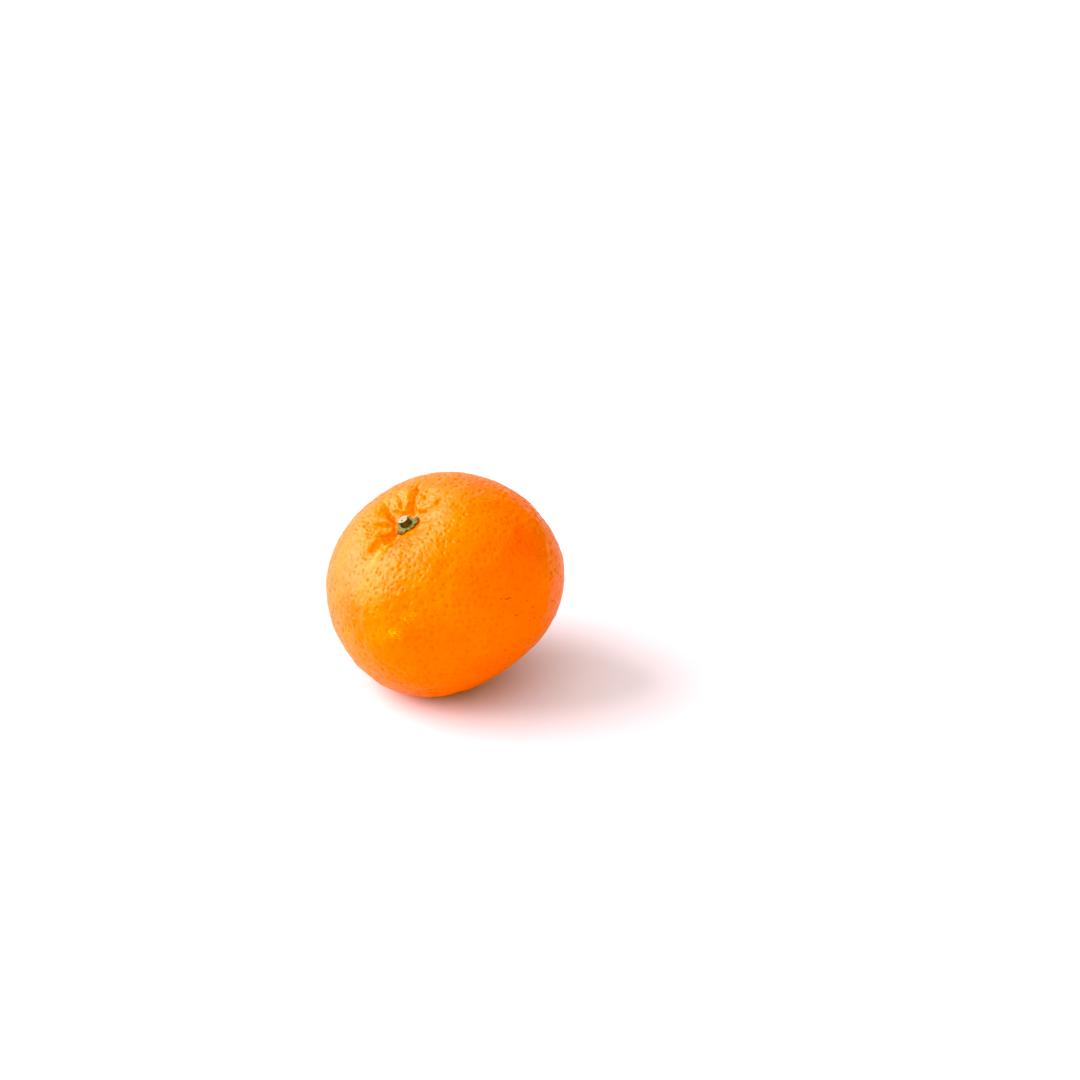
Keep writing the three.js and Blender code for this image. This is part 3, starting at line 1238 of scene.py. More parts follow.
@dataclass
class Stub:
    """The cut stub of the stem that stands on the calyx.

    Attributes:
        rind: The rind whose hollow it stands in.
        foot_radius: Radius where it meets the calyx, in millimetres.
        waist_radius: Radius of its upright part.
        top_radius: Radius of the cut face.
        height: Height from its foot to the cut face.
        foot_above_skin: Height of its foot above the skin.
        flare_fade: How quickly its flared foot narrows, higher for quicker.
        side_margin: How far below the cut face its side ends.
        edge_turn: How far in and how far down the ring between side and face lies.
        cut_bevel: How much the edge of the cut face is rounded.
        lean: How far the cut face leans out.
        leans_towards: The azimuth that it leans to, in degrees.
        bark_grains: The bark's roughness.
        bark_squeeze: How much heights are squeezed, for a grain that runs along the stub.
        ovalness: How far it is drawn out into an oval.
        oval_turn: Where that oval's phase starts, in radians.
        side_span: Radii over which the bark's roughness sets in.
        cut_relief: The cut face's roughness.
        cut_slope: How much the cut face slopes along x.
        cut_span: Shares of its height over which the cut face's relief sets in.
        face_span: Shares of its height over which the bark's colour ends.
        pith_at: Where the pith is on the cut face, as x and y.
        pith_depth: How deep the pith has dried in.
        pith_hollow: Radius of that hollow.
        pith_radius: Radius of the pith's colour.
        segments: How many segments each ring has.
        steps: How many rings its side has.
        face_rings: How many rings the cut face has.
    """

    rind: Rind
    foot_radius: float = 1.85
    waist_radius: float = 1.42
    top_radius: float = 1.38
    height: float = 2.50
    foot_above_skin: float = 0.20
    flare_fade: float = 5.0
    side_margin: float = 0.12
    edge_turn: tuple[float, float] = (0.05, 0.04)
    cut_bevel: float = 0.13
    lean: float = 0.30
    leans_towards: float = -42.0
    bark_grains: tuple[Lump, ...] = (Lump(0.10, 0.45, 5.0), Lump(0.05, 0.16, 8.0))
    bark_squeeze: float = 0.35
    ovalness: float = 0.05
    oval_turn: float = 0.6
    side_span: tuple[float, float] = (0.9, 1.3)
    cut_relief: Lump = Lump(0.07, 0.5, 6.0)
    cut_slope: float = 0.05
    cut_span: tuple[float, float] = (0.97, 1.0)
    face_span: tuple[float, float] = (0.955, 0.995)
    pith_at: tuple[float, float] = (0.35, 0.28)
    pith_depth: float = 0.22
    pith_hollow: float = 0.2
    pith_radius: float = 0.24
    segments: int = 96
    steps: int = 14
    face_rings: int = 9

    def profile(self) -> list[tuple[float, float]]:
        """The stub's rings from its foot to the middle of the cut face.

        Returns:
            Pairs of a radius and a height, in millimetres.
        """
        level = float(self.rind.form.stem_end_level(np.array([0.0]))[0])
        foot = level + self.foot_above_skin
        top = foot + self.height
        rings = [(self.foot_radius, foot)]
        for step in range(1, self.steps + 1):
            share = step / self.steps
            flare = (self.foot_radius - self.waist_radius) * math.exp(-share * self.flare_fade)
            taper = (self.top_radius - self.waist_radius) * share
            radius = self.waist_radius + flare + taper
            rings.append((radius, foot + (self.height - self.side_margin) * share))
        inwards, downwards = self.edge_turn
        rings.append((self.top_radius - inwards, top - downwards))
        face_radius = self.top_radius - self.cut_bevel
        for step in range(self.face_rings):
            rings.append((face_radius * (1.0 - step / self.face_rings), top))
        return rings

    def blank(self, rings: list[tuple[float, float]]) -> bpy.types.Object:
        """The stub drawn up ring by ring.

        Args:
            rings: Its radii and heights, from the foot up.

        Returns:
            The new piece.
        """
        Workbench.clear()
        bpy.ops.mesh.primitive_circle_add(
            vertices=self.segments,
            radius=rings[0][0],
            location=(0.0, 0.0, rings[0][1]),
            fill_type="NGON",
        )
        piece = Workbench.named("stem_stub")
        bpy.ops.object.transform_apply(location=True, rotation=True, scale=True)
        bpy.ops.object.mode_set(mode="EDIT")
        bpy.ops.mesh.select_all(action="SELECT")
        for (radius, level), (wider, lower) in zip(rings[1:], rings[:-1]):
            bpy.ops.mesh.extrude_region_move(
                TRANSFORM_OT_translate={"value": (0.0, 0.0, level - lower)}
            )
            share = radius / wider
            bpy.ops.transform.resize(value=(share, share, 1.0))
        bpy.ops.mesh.poke()
        Workbench.face_outwards()
        return piece

    def off_pith(self, points: np.ndarray) -> np.ndarray:
        """How far points are from the middle of the pith, across the stub."""
        return np.hypot(points[:, 0] - self.pith_at[0], points[:, 1] - self.pith_at[1])

    def roughened(self, points: np.ndarray, rise: np.ndarray) -> np.ndarray:
        """Roughens the bark and the cut face, and leans the stub.

        Args:
            points: Points of the drawn stub.
            rise: Each point's height, from 0 at the foot to 1 at the cut face.

        Returns:
            The new points.
        """
        out = np.hypot(points[:, 0], points[:, 1])
        turn = np.arctan2(points[:, 1], points[:, 0])
        squeezed = points[:, 2] * self.bark_squeeze
        bark = np.stack([np.cos(turn), np.sin(turn), squeezed], axis=1)
        grain = self.ovalness * np.cos(2.0 * turn + self.oval_turn)
        for bark_grain in self.bark_grains:
            grain += bark_grain.relief(bark)
        grain *= smooth_step(*self.side_span, out)
        shaped = points.copy()
        shaped[:, 0] += np.cos(turn) * grain
        shaped[:, 1] += np.sin(turn) * grain
        cut = self.cut_relief.relief(shaped) + self.cut_slope * shaped[:, 0]
        cut -= self.pith_depth * bump(self.off_pith(shaped), self.pith_hollow)
        shaped[:, 2] += cut * smooth_step(*self.cut_span, rise)
        lean = math.radians(self.leans_towards)
        shaped[:, 0] += self.lean * math.cos(lean) * rise
        shaped[:, 1] += self.lean * math.sin(lean) * rise
        return shaped

    def build(self) -> bpy.types.Object:
        """Draws the stub, roughens it, paints its masks and stands it on the calyx.

        Returns:
            The finished mesh.
        """
        rings = self.profile()
        piece = self.blank(rings)
        points = Workbench.points(piece)
        rise = np.clip((points[:, 2] - rings[0][1]) / self.height, 0.0, 1.0)
        face = smooth_step(*self.face_span, rise)
        pith = bump(self.off_pith(points), self.pith_radius)
        Workbench.paint(piece, "cut_face", face)
        Workbench.paint(piece, "pith", pith * face)
        points = self.roughened(points, rise)
        Workbench.place(piece, (self.rind.lie.turned(points) + self.rind.middle) * MM)
        return piece

    def dress(self, piece: bpy.types.Object, groups: "Groups") -> None:
        """Gives the stub its finish and its part."""
        Part.STEM.put_in_place(piece, StubFinish().material(groups))


# ------------------------------------------------------------------------------- finishes

Number = Socket | float
Tint = Socket | Colour


class Wiring:
    """A node tree with short ways to add and join nodes."""

    def __init__(self, tree: bpy.types.NodeTree) -> None:
        """Keeps the tree that it adds nodes to."""
        self.tree = tree

    def node(
        self, kind: str, settings: dict | None = None, **inputs: object
    ) -> bpy.types.Node:
        """Adds a node.

        Args:
            kind: The node's type name.
            settings: Its properties.
            **inputs: Its sockets by name, with _ for a space, each a value or a socket.

        Returns:
            The new node.
        """
        added = self.tree.nodes.new(kind)
        for key, value in (settings or {}).items():
            setattr(added, key, value)
        for key, value in inputs.items():
            self.feed(added.inputs[key.replace("_", " ")], value)
        return added

    def feed(self, socket: Socket, value: object) -> None:
        """Gives a socket what it takes.

        Args:
            socket: The socket.
            value: A value for it, or another socket to link it to.
        """
        if isinstance(value, Socket):
            self.tree.links.new(value, socket)
        else:
            socket.default_value = value

    def maths(
        self, operation: str, first: Number, second: Number = 0.0, third: Number = 0.0
    ) -> Socket:
        """Joins numbers by an operation.

        Args:
            operation: The operation's name.
            first: Its first number.
            second: Its second number.
            third: Its third number.

        Returns:
            The result.
        """
        added = self.node("ShaderNodeMath", {"operation": operation})
        for socket, value in zip(added.inputs, (first, second, third)):
            self.feed(socket, value)
        return added.outputs[0]

    def times(self, first: Number, second: Number) -> Socket:
        """The product of two numbers."""
        return self.maths("MULTIPLY", first, second)

    def blend(self, share: Number, low: Tint, high: Tint) -> Socket:
        """Mixes two colours.

        Args:
            share: How much of the second colour is in the mix.
            low: The first colour.
            high: The second colour.

        Returns:
            The mix.
        """
        added = self.node("ShaderNodeMix", {"data_type": "RGBA"})
        for index, value in ((0, share), (6, low), (7, high)):
            self.feed(added.inputs[index], value)
        return added.outputs[2]

    def spread(
        self,
        value: Socket,
        span: tuple[Number, Number],
        onto: tuple[Number, Number] = (0.0, 1.0),
    ) -> Socket:
        """Spreads a range of numbers smoothly over another.

        Args:
            value: The number to look up.
            span: The range that it comes from.
            onto: The range that it goes to.

        Returns:
            The spread number.
        """
        added = self.node(
            "ShaderNodeMapRange",
            {"interpolation_type": "SMOOTHSTEP"},
            Value=value,
            From_Min=span[0],
            From_Max=span[1],
            To_Min=onto[0],
            To_Max=onto[1],
        )
        return added.outputs[0]

    def relief(
        self, height: Socket, depth: float, under: Socket | None = None, pits: bool = False
    ) -> Socket:
        """Adds fine relief to the surface.

        Args:
            height: Where it is high, from 0 to 1.
            depth: How high that is, in metres.
            under: The relief that it lies on, if any.
            pits: Whether it goes inwards.

        Returns:
            The surface's new direction.
        """
        added = self.node(
            "ShaderNodeBump", {"invert": pits}, Strength=1.0, Distance=depth, Height=height
        )
        if under is not None:
            self.feed(added.inputs["Normal"], under)
        return added.outputs["Normal"]

    def effect(self, group: bpy.types.NodeTree, place: Socket, **values: float) -> Socket:
        """Places a shared effect.

        Args:
            group: The effect.
            place: The point being shaded.
            **values: Its number inputs by name, with _ for a space.

        Returns:
            Its result.
        """
        added = self.node("ShaderNodeGroup", {"node_tree": group}, Place=place, **values)
        return added.outputs[0]

    def mask(self, name: str) -> Socket:
        """Reads one of the masks painted on a piece."""
        return self.node("ShaderNodeAttribute", {"attribute_name": name}).outputs["Fac"]

    def place(self) -> Socket:
        """The point of the piece being shaded, in metres."""
        return self.node("ShaderNodeTexCoord").outputs["Object"]


class Effect:
    """A shared effect in the making: a node group with a place and numbers as inputs."""

    def __init__(self, name: str, inputs: dict[str, float], output: str) -> None:
        """Starts the group.

        Args:
            name: The group's name.
            inputs: Its number inputs and their usual values.
            output: The name of its result, a mask from 0 to 1.
        """
        self.group = bpy.data.node_groups.new(name, "ShaderNodeTree")
        sockets = self.group.interface
        sockets.new_socket("Place", in_out="INPUT", socket_type="NodeSocketVector")
        for key, usual in inputs.items():
            added = sockets.new_socket(key, in_out="INPUT", socket_type="NodeSocketFloat")
            added.default_value = usual
        sockets.new_socket(output, in_out="OUTPUT", socket_type="NodeSocketFloat")
        self.wiring = Wiring(self.group)
        self.given = self.wiring.node("NodeGroupInput").outputs
        self.result = self.wiring.node("NodeGroupOutput").inputs[output]

    def scale(self, size: str) -> Socket:
        """The texture scale for an input that holds a size in metres."""
        return self.wiring.maths("DIVIDE", 1.0, self.given[size])

    def done(self, mask: Socket) -> bpy.types.NodeTree:
        """Gives the group its result.

        Args:
            mask: The finished mask.

        Returns:
            The finished group.
        """
        self.wiring.feed(self.result, mask)
        return self.group


def mottle_group() -> bpy.types.NodeTree:
    """Makes cloudy patches, from 0 to 1.

    Returns:
        The finished group.
    """
    effect = Effect("mottle", {"Patch Size": 0.008, "Contrast": 1.0}, "Mask")
    wiring = effect.wiring
    cloud = wiring.node(
        "ShaderNodeTexNoise",
        Vector=effect.given["Place"],
        Scale=effect.scale("Patch Size"),
        Detail=4.0,
        Roughness=0.55,
    )
    centred = wiring.maths("SUBTRACT", cloud.outputs["Fac"], 0.5)
    stretch = wiring.times(effect.given["Contrast"], CLOUD_STRETCH)
    mask = wiring.maths("MULTIPLY_ADD", centred, stretch, 0.5)
    return effect.done(wiring.node("ShaderNodeClamp", Value=mask).outputs[0])


def specks_group() -> bpy.types.NodeTree:
    """Makes sparse small dots, from 0 to 1.

    Returns:
        The finished group.
    """
    effect = Effect("specks", {"Spacing": 0.003, "Dot Share": 0.12, "Rarity": 0.6}, "Mask")
    wiring, dot_share = effect.wiring, effect.given["Dot Share"]
    cells = wiring.node(
        "ShaderNodeTexVoronoi",
        Vector=effect.given["Place"],
        Scale=effect.scale("Spacing"),
        Randomness=1.0,
    )
    span = (wiring.times(dot_share, DOT_CORE), dot_share)
    dot = wiring.spread(cells.outputs["Distance"], span, (1.0, 0.0))
    chosen = wiring.maths("GREATER_THAN", cells.outputs["Color"], effect.given["Rarity"])
    return effect.done(wiring.times(dot, chosen))


def glands_group() -> bpy.types.NodeTree:
    """Makes fine round pits, from 0 on the skin to 1 at their middles.

    Returns:
        The finished group.
    """
    effect = Effect("glands", {"Spacing": 0.0012, "Pit Share": 0.45}, "Pit")
    wiring = effect.wiring
    cells = wiring.node(
        "ShaderNodeTexVoronoi",
        Vector=effect.given["Place"],
        Scale=effect.scale("Spacing"),
        Randomness=0.85,
    )
    span = (0.0, effect.given["Pit Share"])
    return effect.done(wiring.spread(cells.outputs["Distance"], span, (1.0, 0.0)))


@dataclass(frozen=True)
class Groups:
    """The effects that the finishes share: cloudy patches, small dots and fine pits."""

    mottle: bpy.types.NodeTree
    specks: bpy.types.NodeTree
    glands: bpy.types.NodeTree


def new_finish(name: str) -> tuple[bpy.types.Material, Wiring, bpy.types.Node]:
    """Starts a material.

    Args:
        name: The material's name.

    Returns:
        The material, its wiring and its shader.
    """
    material = bpy.data.materials.new(name)
    material.use_nodes = True
    wiring = Wiring(material.node_tree)
    shader = next(n for n in material.node_tree.nodes if n.type == "BSDF_PRINCIPLED")
    return material, wiring, shader


@dataclass(frozen=True)
class RindFinish:
    """Waxy orange rind with oil glands, rub marks and brown flecks, with painted highlight on
    the rub marks and ridges and painted shade in its pits, creases, valleys and underside.

    Attributes:
        orange: The rind's usual colour.
        deep_orange: Its redder patches, and the painted shade in its valleys and on its
            underside.
        pit_orange: The glands' deeper tone, also used as painted shade in the pits, the fine
            glands and the sharp creases.
        yellow: The pale yellow of the grainy ridges, partly their own yellowed tone and partly
            painted highlight.
        rubbed_and_highlight: The rub marks' pale yellow, partly wear and partly painted
            highlight.
        brown: The scratches, the dots and the blossom scar.
        underside_tone_and_shade_share: How much deeper orange the blossom side is, partly its
            own tone and partly painted shade on the underside.
        valley_shade_share: How much painted shade darkens a valley towards the deeper orange.
        crease_shade_share: How strongly painted shade darkens a sharp crease.
        pit_tone_and_shade_share: How much redder a pit is, partly the gland's own tone and
            partly painted shade in its hollow.
        gland_tone_and_shade_share: How much redder a fine gland is, partly its own tone and
            partly painted shade in its hollow.
        flake_span: Between which values of the yellow's grain it goes from thin to full.
        flake_share: How much of that pale yellow a ridge takes between its grains and on them.
        crumb_span: Between which values of the grain the rub marks and their painted highlight
            set in.
        worn_span: Between which shares of wear the brown flecks set in.
        fleck_share: How dark the flecks are where nothing and where all is worn.
        roughness: How rough the wax is.
        patch_roughness: How much rougher it is in its lighter patches.
        pit_roughness: How much rougher it is in a pit.
        rubbed_roughness: How much rougher it is on the rub marks.
        gland_depth: Depth of the fine glands, in metres.
        grain_depth: Depth of the grain between them.
        ripple_height: Height of the ripples.
        flesh: How much light spreads under the skin.
        flesh_reach: How far it spreads, in metres.
        flesh_tint: How far red, green and blue spread, as shares of that.
        wax_tint: The tint of the wax's shine.
        wax_shine: How strong the shine is, 0.5 being usual.
    """

    orange: Colour = (0.92, 0.146, 0.0003, 1.0)
    deep_orange: Colour = (0.91, 0.100, 0.0002, 1.0)
    pit_orange: Colour = (0.88, 0.062, 0.0001, 1.0)
    yellow: Colour = (0.95, 0.250, 0.0010, 1.0)
    rubbed_and_highlight: Colour = (0.95, 0.420, 0.0120, 1.0)
    brown: Colour = (0.20, 0.014, 0.0040, 1.0)
    underside_tone_and_shade_share: float = 0.95
    valley_shade_share: float = 0.45
    crease_shade_share: float = 1.6
    pit_tone_and_shade_share: float = 0.52
    gland_tone_and_shade_share: float = 0.22
    flake_span: tuple[float, float] = (0.25, 0.75)
    flake_share: tuple[float, float] = (0.1, 1.0)
    crumb_span: tuple[float, float] = (0.42, 0.85)
    worn_span: tuple[float, float] = (0.1, 0.8)
    fleck_share: tuple[float, float] = (0.0, 0.55)
    roughness: float = 0.36
    patch_roughness: float = 0.08
    pit_roughness: float = 0.1
    rubbed_roughness: float = 0.25
    gland_depth: float = 0.00007
    grain_depth: float = 0.000015
    ripple_height: float = 0.00006
    flesh: float = 0.12
    flesh_reach: float = 0.0014
    flesh_tint: tuple[float, float, float] = (1.0, 0.35, 0.08)
    wax_tint: Colour = (1.0, 0.90, 0.45, 1.0)
    wax_shine: float = 0.46

    def material(self, groups: Groups) -> bpy.types.Material:
        """Makes the finish.

        Args:
            groups: The shared effects.

        Returns:
            The finished material.
        """
        material, wiring, shader = new_finish("rind_finish")
        place = wiring.place()
        patches = wiring.effect(groups.mottle, place, Patch_Size=0.012, Contrast=1.2)
        ripples = wiring.effect(groups.mottle, place, Patch_Size=0.0012, Contrast=1.0)
        crumbs = wiring.effect(groups.mottle, place, Patch_Size=0.0005, Contrast=1.6)
        glands = wiring.effect(groups.glands, place, Spacing=0.00125, Pit_Share=0.5)
        grain = wiring.effect(groups.glands, place, Spacing=0.0006, Pit_Share=0.6)
        flecks = wiring.effect(
            groups.specks, place, Spacing=0.0036, Dot_Share=0.085, Rarity=0.45
        )
        pit = wiring.mask("pit")
        flakes = wiring.effect(groups.mottle, place, Patch_Size=0.0007, Contrast=2.6)
        # The ridges' pale yellow, partly their own tone and partly painted highlight.
        yellowing_and_highlight = wiring.spread(flakes, self.flake_span, self.flake_share)
        yellowing_and_highlight = wiring.times(wiring.mask("pale"), yellowing_and_highlight)
        # The rub marks' pale yellow: partly wear, partly painted highlight.
        rubbing_and_highlight = wiring.spread(crumbs, self.crumb_span)
        rubbing_and_highlight = wiring.times(wiring.mask("scuff_and_highlight"), rubbing_and_highlight)
        flecking = wiring.spread(wiring.mask("worn"), self.worn_span, self.fleck_share)

        colour = wiring.blend(patches, self.deep_orange, self.orange)
        for share, tint in (
            # Deeper orange on the underside: partly its own tone, partly painted shade.
            (wiring.times(wiring.mask("underside_tone_and_shade"), self.underside_tone_and_shade_share), self.deep_orange),
            # Painted shade in the valleys.
            (wiring.times(wiring.mask("valley"), self.valley_shade_share), self.deep_orange),
            # Painted shade along the sharp creases.
            (wiring.times(wiring.mask("crease"), self.crease_shade_share), self.pit_orange),
            (yellowing_and_highlight, self.yellow),
            # Fine glands and pits are darkened: partly their own tone, partly painted shade in
            # their hollows.
            (wiring.times(glands, self.gland_tone_and_shade_share), self.pit_orange),
            (wiring.times(pit, self.pit_tone_and_shade_share), self.pit_orange),
            # Rub marks with painted highlight.
            (rubbing_and_highlight, self.rubbed_and_highlight),
            (wiring.times(flecks, flecking), self.brown),
            (wiring.mask("brown"), self.brown),
            (wiring.mask("scar"), self.brown),
        ):
            colour = wiring.blend(share, colour, tint)
        wiring.feed(shader.inputs["Base Color"], colour)

        dull = wiring.maths("MULTIPLY_ADD", patches, self.patch_roughness, self.roughness)
        dull = wiring.maths("MULTIPLY_ADD", pit, self.pit_roughness, dull)
        dull = wiring.maths("MULTIPLY_ADD", rubbing_and_highlight, self.rubbed_roughness, dull)
        wiring.feed(shader.inputs["Roughness"], dull)
        shader.inputs["Subsurface Weight"].default_value = self.flesh
        shader.inputs["Subsurface Radius"].default_value = self.flesh_tint
        shader.inputs["Subsurface Scale"].default_value = self.flesh_reach
        shader.inputs["Specular Tint"].default_value = self.wax_tint
        shader.inputs["Specular IOR Level"].default_value = self.wax_shine

        surface = wiring.relief(glands, self.gland_depth, pits=True)
        surface = wiring.relief(grain, self.grain_depth, surface, pits=True)
        surface = wiring.relief(ripples, self.ripple_height, surface)
        wiring.feed(shader.inputs["Normal"], surface)
        return material


@dataclass(frozen=True)
class CalyxFinish:
    """Dry yellow-green skin with brown lobe ends.

    Attributes:
        green: Its green patches.
        grey_green: Its small shaded patches and the painted shade next to the stem.
        straw: Its dried patches.
        brown: Its lobe ends and flecks.
        shade_share: How grey its small shaded patches are.
        stem_foot_shade_share: How strongly the painted shade next to the stem greys it.
        fleck_share: How dark its flecks are.
        browning_span: Between which values of its fine patches the lobe ends' brown fills out.
        browning_share: How brown the lobe ends are at either end of that.
        roughness: How rough it is.
        patch_roughness: How much rougher it is in its dried patches.
        shine: How strong its shine is, 0.5 being usual.
        relief_height: Height of its fine relief, in metres.
    """

    green: Colour = (0.155, 0.148, 0.036, 1.0)
    grey_green: Colour = (0.100, 0.104, 0.055, 1.0)
    straw: Colour = (0.28, 0.235, 0.058, 1.0)
    brown: Colour = (0.075, 0.035, 0.036, 1.0)
    shade_share: float = 0.5
    stem_foot_shade_share: float = 0.6
    fleck_share: float = 0.6
    browning_span: tuple[float, float] = (0.0, 0.5)
    browning_share: tuple[float, float] = (0.7, 1.0)
    roughness: float = 0.5
    patch_roughness: float = 0.2
    shine: float = 0.25
    relief_height: float = 0.00006

    def material(self, groups: Groups) -> bpy.types.Material:
        """Makes the finish.

        Args:
            groups: The shared effects.

        Returns:
            The finished material.
        """
        material, wiring, shader = new_finish("calyx_finish")
        place = wiring.place()
        patches = wiring.effect(groups.mottle, place, Patch_Size=0.0016, Contrast=1.6)
        fine = wiring.effect(groups.mottle, place, Patch_Size=0.0004, Contrast=1.2)
        flecks = wiring.effect(
            groups.specks, place, Spacing=0.0008, Dot_Share=0.2, Rarity=0.5
        )
        browning = wiring.spread(fine, self.browning_span, self.browning_share)
        browning = wiring.times(wiring.mask("brown"), browning)

        colour = wiring.blend(patches, self.green, self.straw)
        for share, tint in (
            (wiring.times(fine, self.shade_share), self.grey_green),
            # Painted shade round the stem's foot.
            (wiring.times(wiring.mask("stem_foot_shade"), self.stem_foot_shade_share), self.grey_green),
            (browning, self.brown),
            (wiring.times(flecks, self.fleck_share), self.brown),
        ):
            colour = wiring.blend(share, colour, tint)
        wiring.feed(shader.inputs["Base Color"], colour)
        dull = wiring.maths("MULTIPLY_ADD", patches, self.patch_roughness, self.roughness)
        wiring.feed(shader.inputs["Roughness"], dull)
        shader.inputs["Specular IOR Level"].default_value = self.shine
        wiring.feed(shader.inputs["Normal"], wiring.relief(fine, self.relief_height))
        return material


@dataclass(frozen=True)
class StubFinish:
    """Dark bark with a pale cut face and a dark pith.

    Attributes:
        bark: The bark's lighter patches.
        dark_bark: Its darker patches.
        cut: The cut face.
        cut_shade: Its darker patches and flecks.
        pith: The dried pith.
        shade_share: How dark the cut face's darker patches are.
        fleck_share: How dark its flecks are.
        roughness: How rough it is.
        fine_roughness: How much rougher it is in small patches.
        shine: How strong its shine is, 0.5 being usual.
        relief_height: Height of its fine relief, in metres.
    """

    bark: Colour = (0.105, 0.066, 0.078, 1.0)
    dark_bark: Colour = (0.024, 0.012, 0.040, 1.0)
    cut: Colour = (0.37, 0.35, 0.25, 1.0)
    cut_shade: Colour = (0.20, 0.175, 0.10, 1.0)
    pith: Colour = (0.06, 0.030, 0.050, 1.0)
    shade_share: float = 0.6
    fleck_share: float = 0.4
    roughness: float = 0.62
    fine_roughness: float = 0.2
    shine: float = 0.12
    relief_height: float = 0.00005

    def material(self, groups: Groups) -> bpy.types.Material:
        """Makes the finish.

        Args:
            groups: The shared effects.

        Returns:
            The finished material.
        """
        material, wiring, shader = new_finish("stub_finish")
        place = wiring.place()
        patches = wiring.effect(groups.mottle, place, Patch_Size=0.0009, Contrast=1.6)
        fine = wiring.effect(groups.mottle, place, Patch_Size=0.0003, Contrast=1.2)
        flecks = wiring.effect(
            groups.specks, place, Spacing=0.0006, Dot_Share=0.25, Rarity=0.7
        )
        bark = wiring.blend(patches, self.dark_bark, self.bark)
        shade = wiring.times(patches, self.shade_share)
        wood = wiring.blend(shade, self.cut, self.cut_shade)
        fleck = wiring.times(flecks, self.fleck_share)
        wood = wiring.blend(fleck, wood, self.cut_shade)
        wood = wiring.blend(wiring.mask("pith"), wood, self.pith)
        colour = wiring.blend(wiring.mask("cut_face"), bark, wood)
        wiring.feed(shader.inputs["Base Color"], colour)
        dull = wiring.maths("MULTIPLY_ADD", fine, self.fine_roughness, self.roughness)
        wiring.feed(shader.inputs["Roughness"], dull)
        shader.inputs["Specular IOR Level"].default_value = self.shine
        wiring.feed(shader.inputs["Normal"], wiring.relief(fine, self.relief_height))
        return material


# --------------------------------------------------------------------------------- studio


@dataclass(frozen=True)
class FarLight:
    """A broad light far away.

    Attributes:
        name: What it is called.
        shines_from: The direction that it shines from.
        strength: How strongly it lights a face turned to it.
        width: How wide it looks from the fruit, in degrees.
    """

    name: str
    shines_from: tuple[float, float, float]
    strength: float
    width: float

    def hang(self) -> None:
        """Hangs the light."""
        Workbench.clear()
        bpy.ops.object.light_add(type="SUN")
        lamp = bpy.context.object
        lamp.name = self.name
        lamp.data.name = self.name
        lamp.data.energy = self.strength
        lamp.data.angle = math.radians(self.width)
        lamp.rotation_euler = Vector(self.shines_from).to_track_quat("Z", "Y").to_euler()


@dataclass(frozen=True)
class Sky:
    """Soft light from all round, brighter on the open side of the room.

    Attributes:
        open_side: The direction of its brightest part.
        dim: Its strength on the far side.
        bright: Its strength on the open side.
        span: Between which cosines off the open side it goes from dim to bright.
        backdrop: How bright it looks to the camera itself, 1 being white.
    """

    open_side: tuple[float, float, float] = (-0.84, 0.12, 0.53)
    dim: float = 0.26
    bright: float = 1.35
    span: tuple[float, float] = (-0.5, 0.8)
    backdrop: float = 1.3

    def spread(self) -> None:
        """Sets it as the world's light."""
        world = bpy.data.worlds.new("sky")
        world.use_nodes = True
        wiring = Wiring(world.node_tree)
        towards = wiring.node("ShaderNodeVectorMath", {"operation": "DOT_PRODUCT"})
        looked_at = wiring.node("ShaderNodeTexCoord").outputs["Generated"]
        wiring.feed(towards.inputs[0], looked_at)
        wiring.feed(towards.inputs[1], self.open_side)
        onto = (self.dim, self.bright)
        strength = wiring.spread(towards.outputs["Value"], self.span, onto)
        seen = wiring.node("ShaderNodeLightPath").outputs["Is Camera Ray"]
        strength = wiring.maths("MAXIMUM", strength, wiring.times(seen, self.backdrop))
        background = world.node_tree.nodes["Background"]
        background.inputs["Color"].default_value = (1.0, 1.0, 1.0, 1.0)
        wiring.feed(background.inputs["Strength"], strength)
        bpy.context.scene.world = world


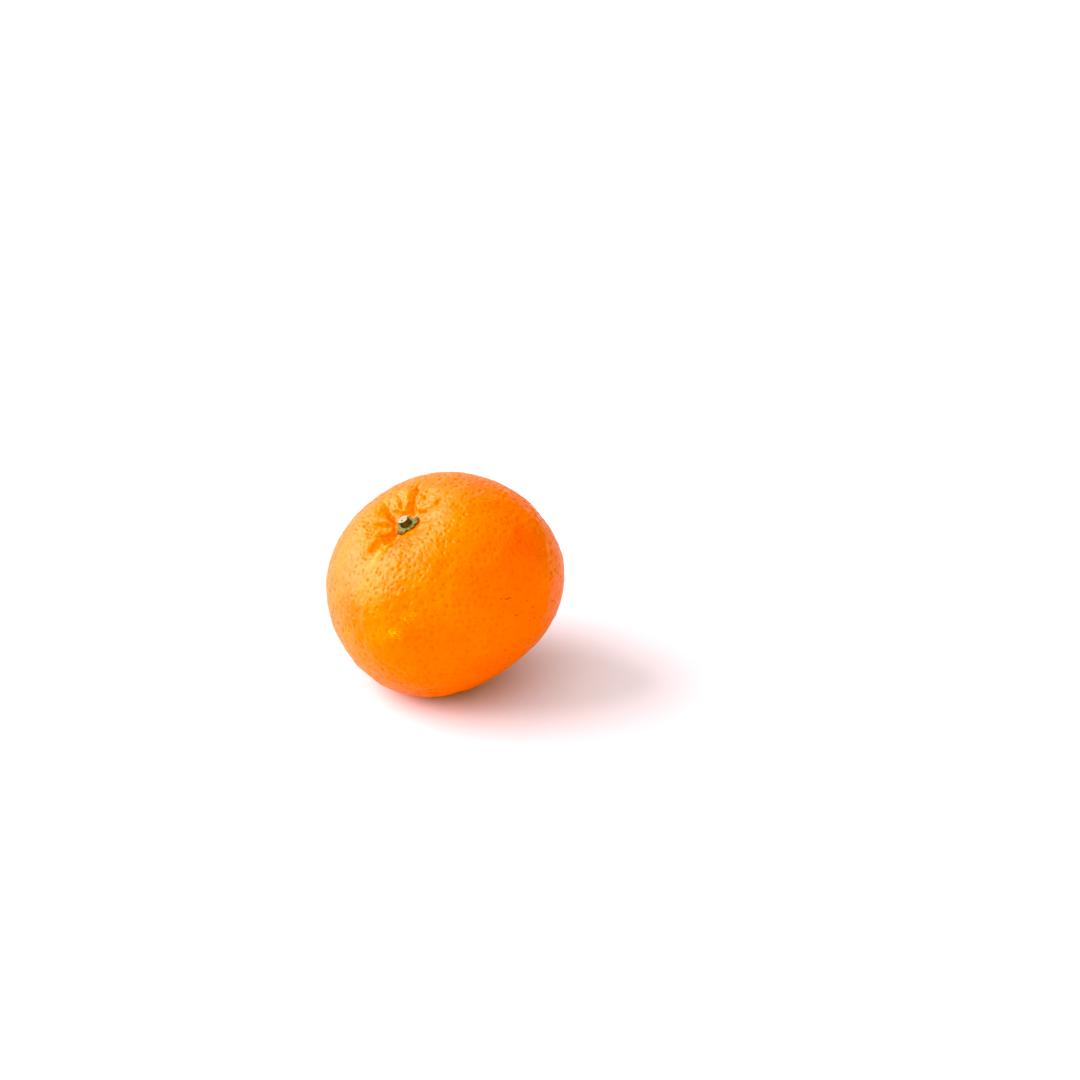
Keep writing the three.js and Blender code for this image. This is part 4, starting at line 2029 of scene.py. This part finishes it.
@dataclass(frozen=True)
class Studio:
    """A white floor, a window on the left, a broad front light and a raised camera.

    Attributes:
        sky: The light from all round.
        far_lights: The window and the front light.
        floor_size: Length of the floor's sides, in metres.
        floor_white: The floor's colour.
        floor_roughness: How rough the floor is.
        blue_cut: The blue that the view shows as none, for pure oranges.
        lens: The camera's focal length, in millimetres.
        film_width: The width of its film, in millimetres.
        elevation: How steeply it looks down, in degrees.
        distance: How far it is from the fruit's middle, in millimetres.
        sideways: How far it stands to the right of the middle.
        above: How far it stands above the line of sight to the middle.
        near_limit: How close to the camera things are still seen, in metres.
    """

    sky: Sky = Sky()
    far_lights: tuple[FarLight, ...] = (
        FarLight("window", (-0.84, 0.10, 0.53), 4.9, 56.0),
        FarLight("front_light", (0.10, -0.80, 0.54), 1.20, 100.0),
    )
    floor_size: float = 24.0
    floor_white: Colour = (0.74, 0.645, 0.66, 1.0)
    floor_roughness: float = 0.7
    blue_cut: float = 0.05
    lens: float = 45.0
    film_width: float = 36.0
    elevation: float = 24.0
    distance: float = 373.0
    sideways: float = 26.4
    above: float = 12.05
    near_limit: float = 0.01

    def floor(self) -> None:
        """Lays the floor on the resting plane."""
        Workbench.clear()
        bpy.ops.mesh.primitive_plane_add(size=self.floor_size)
        piece = Workbench.named("studio_floor")
        material, _, shader = new_finish("floor_finish")
        shader.inputs["Base Color"].default_value = self.floor_white
        shader.inputs["Roughness"].default_value = self.floor_roughness
        piece.data.materials.append(material)

    def light(self) -> None:
        """Hangs the lights, spreads the sky and sets how colours are shown."""
        for far_light in self.far_lights:
            far_light.hang()
        self.sky.spread()
        view = bpy.context.scene.view_settings
        view.view_transform = "Standard"
        view.use_curve_mapping = True
        view.curve_mapping.black_level = (0.0, 0.0, self.blue_cut)
        view.curve_mapping.update()

    def camera(self, middle: np.ndarray) -> None:
        """Places the camera.

        Args:
            middle: The fruit's middle in the part's frame, in millimetres.
        """
        Workbench.clear()
        raised = math.radians(self.elevation)
        up = np.array([0.0, math.sin(raised), math.cos(raised)])
        back = np.array([0.0, -math.cos(raised), math.sin(raised)])
        place = middle + np.array([self.sideways, 0.0, 0.0])
        place = place + self.above * up + self.distance * back
        bpy.ops.object.camera_add(
            location=tuple(place * MM), rotation=(math.pi / 2.0 - raised, 0.0, 0.0)
        )
        camera = bpy.context.object
        camera.name = "studio_camera"
        camera.data.lens = self.lens
        camera.data.sensor_width = self.film_width
        camera.data.clip_start = self.near_limit
        bpy.context.scene.camera = camera


# ----------------------------------------------------------------------------------- main


def main() -> None:
    """Builds the mandarin and the studio that it lies in."""
    logging.basicConfig(level=logging.INFO, format="%(name)s: %(message)s")
    groups = Groups(mottle_group(), specks_group(), glands_group())
    rind = Rind(SkinForm(), Lie(), Pores(), Marks())
    for part in (rind, Calyx(rind), Stub(rind)):
        part.dress(part.build(), groups)

    studio = Studio()
    studio.floor()
    studio.light()
    studio.camera(rind.middle)


if __name__ == "__main__":
    main()
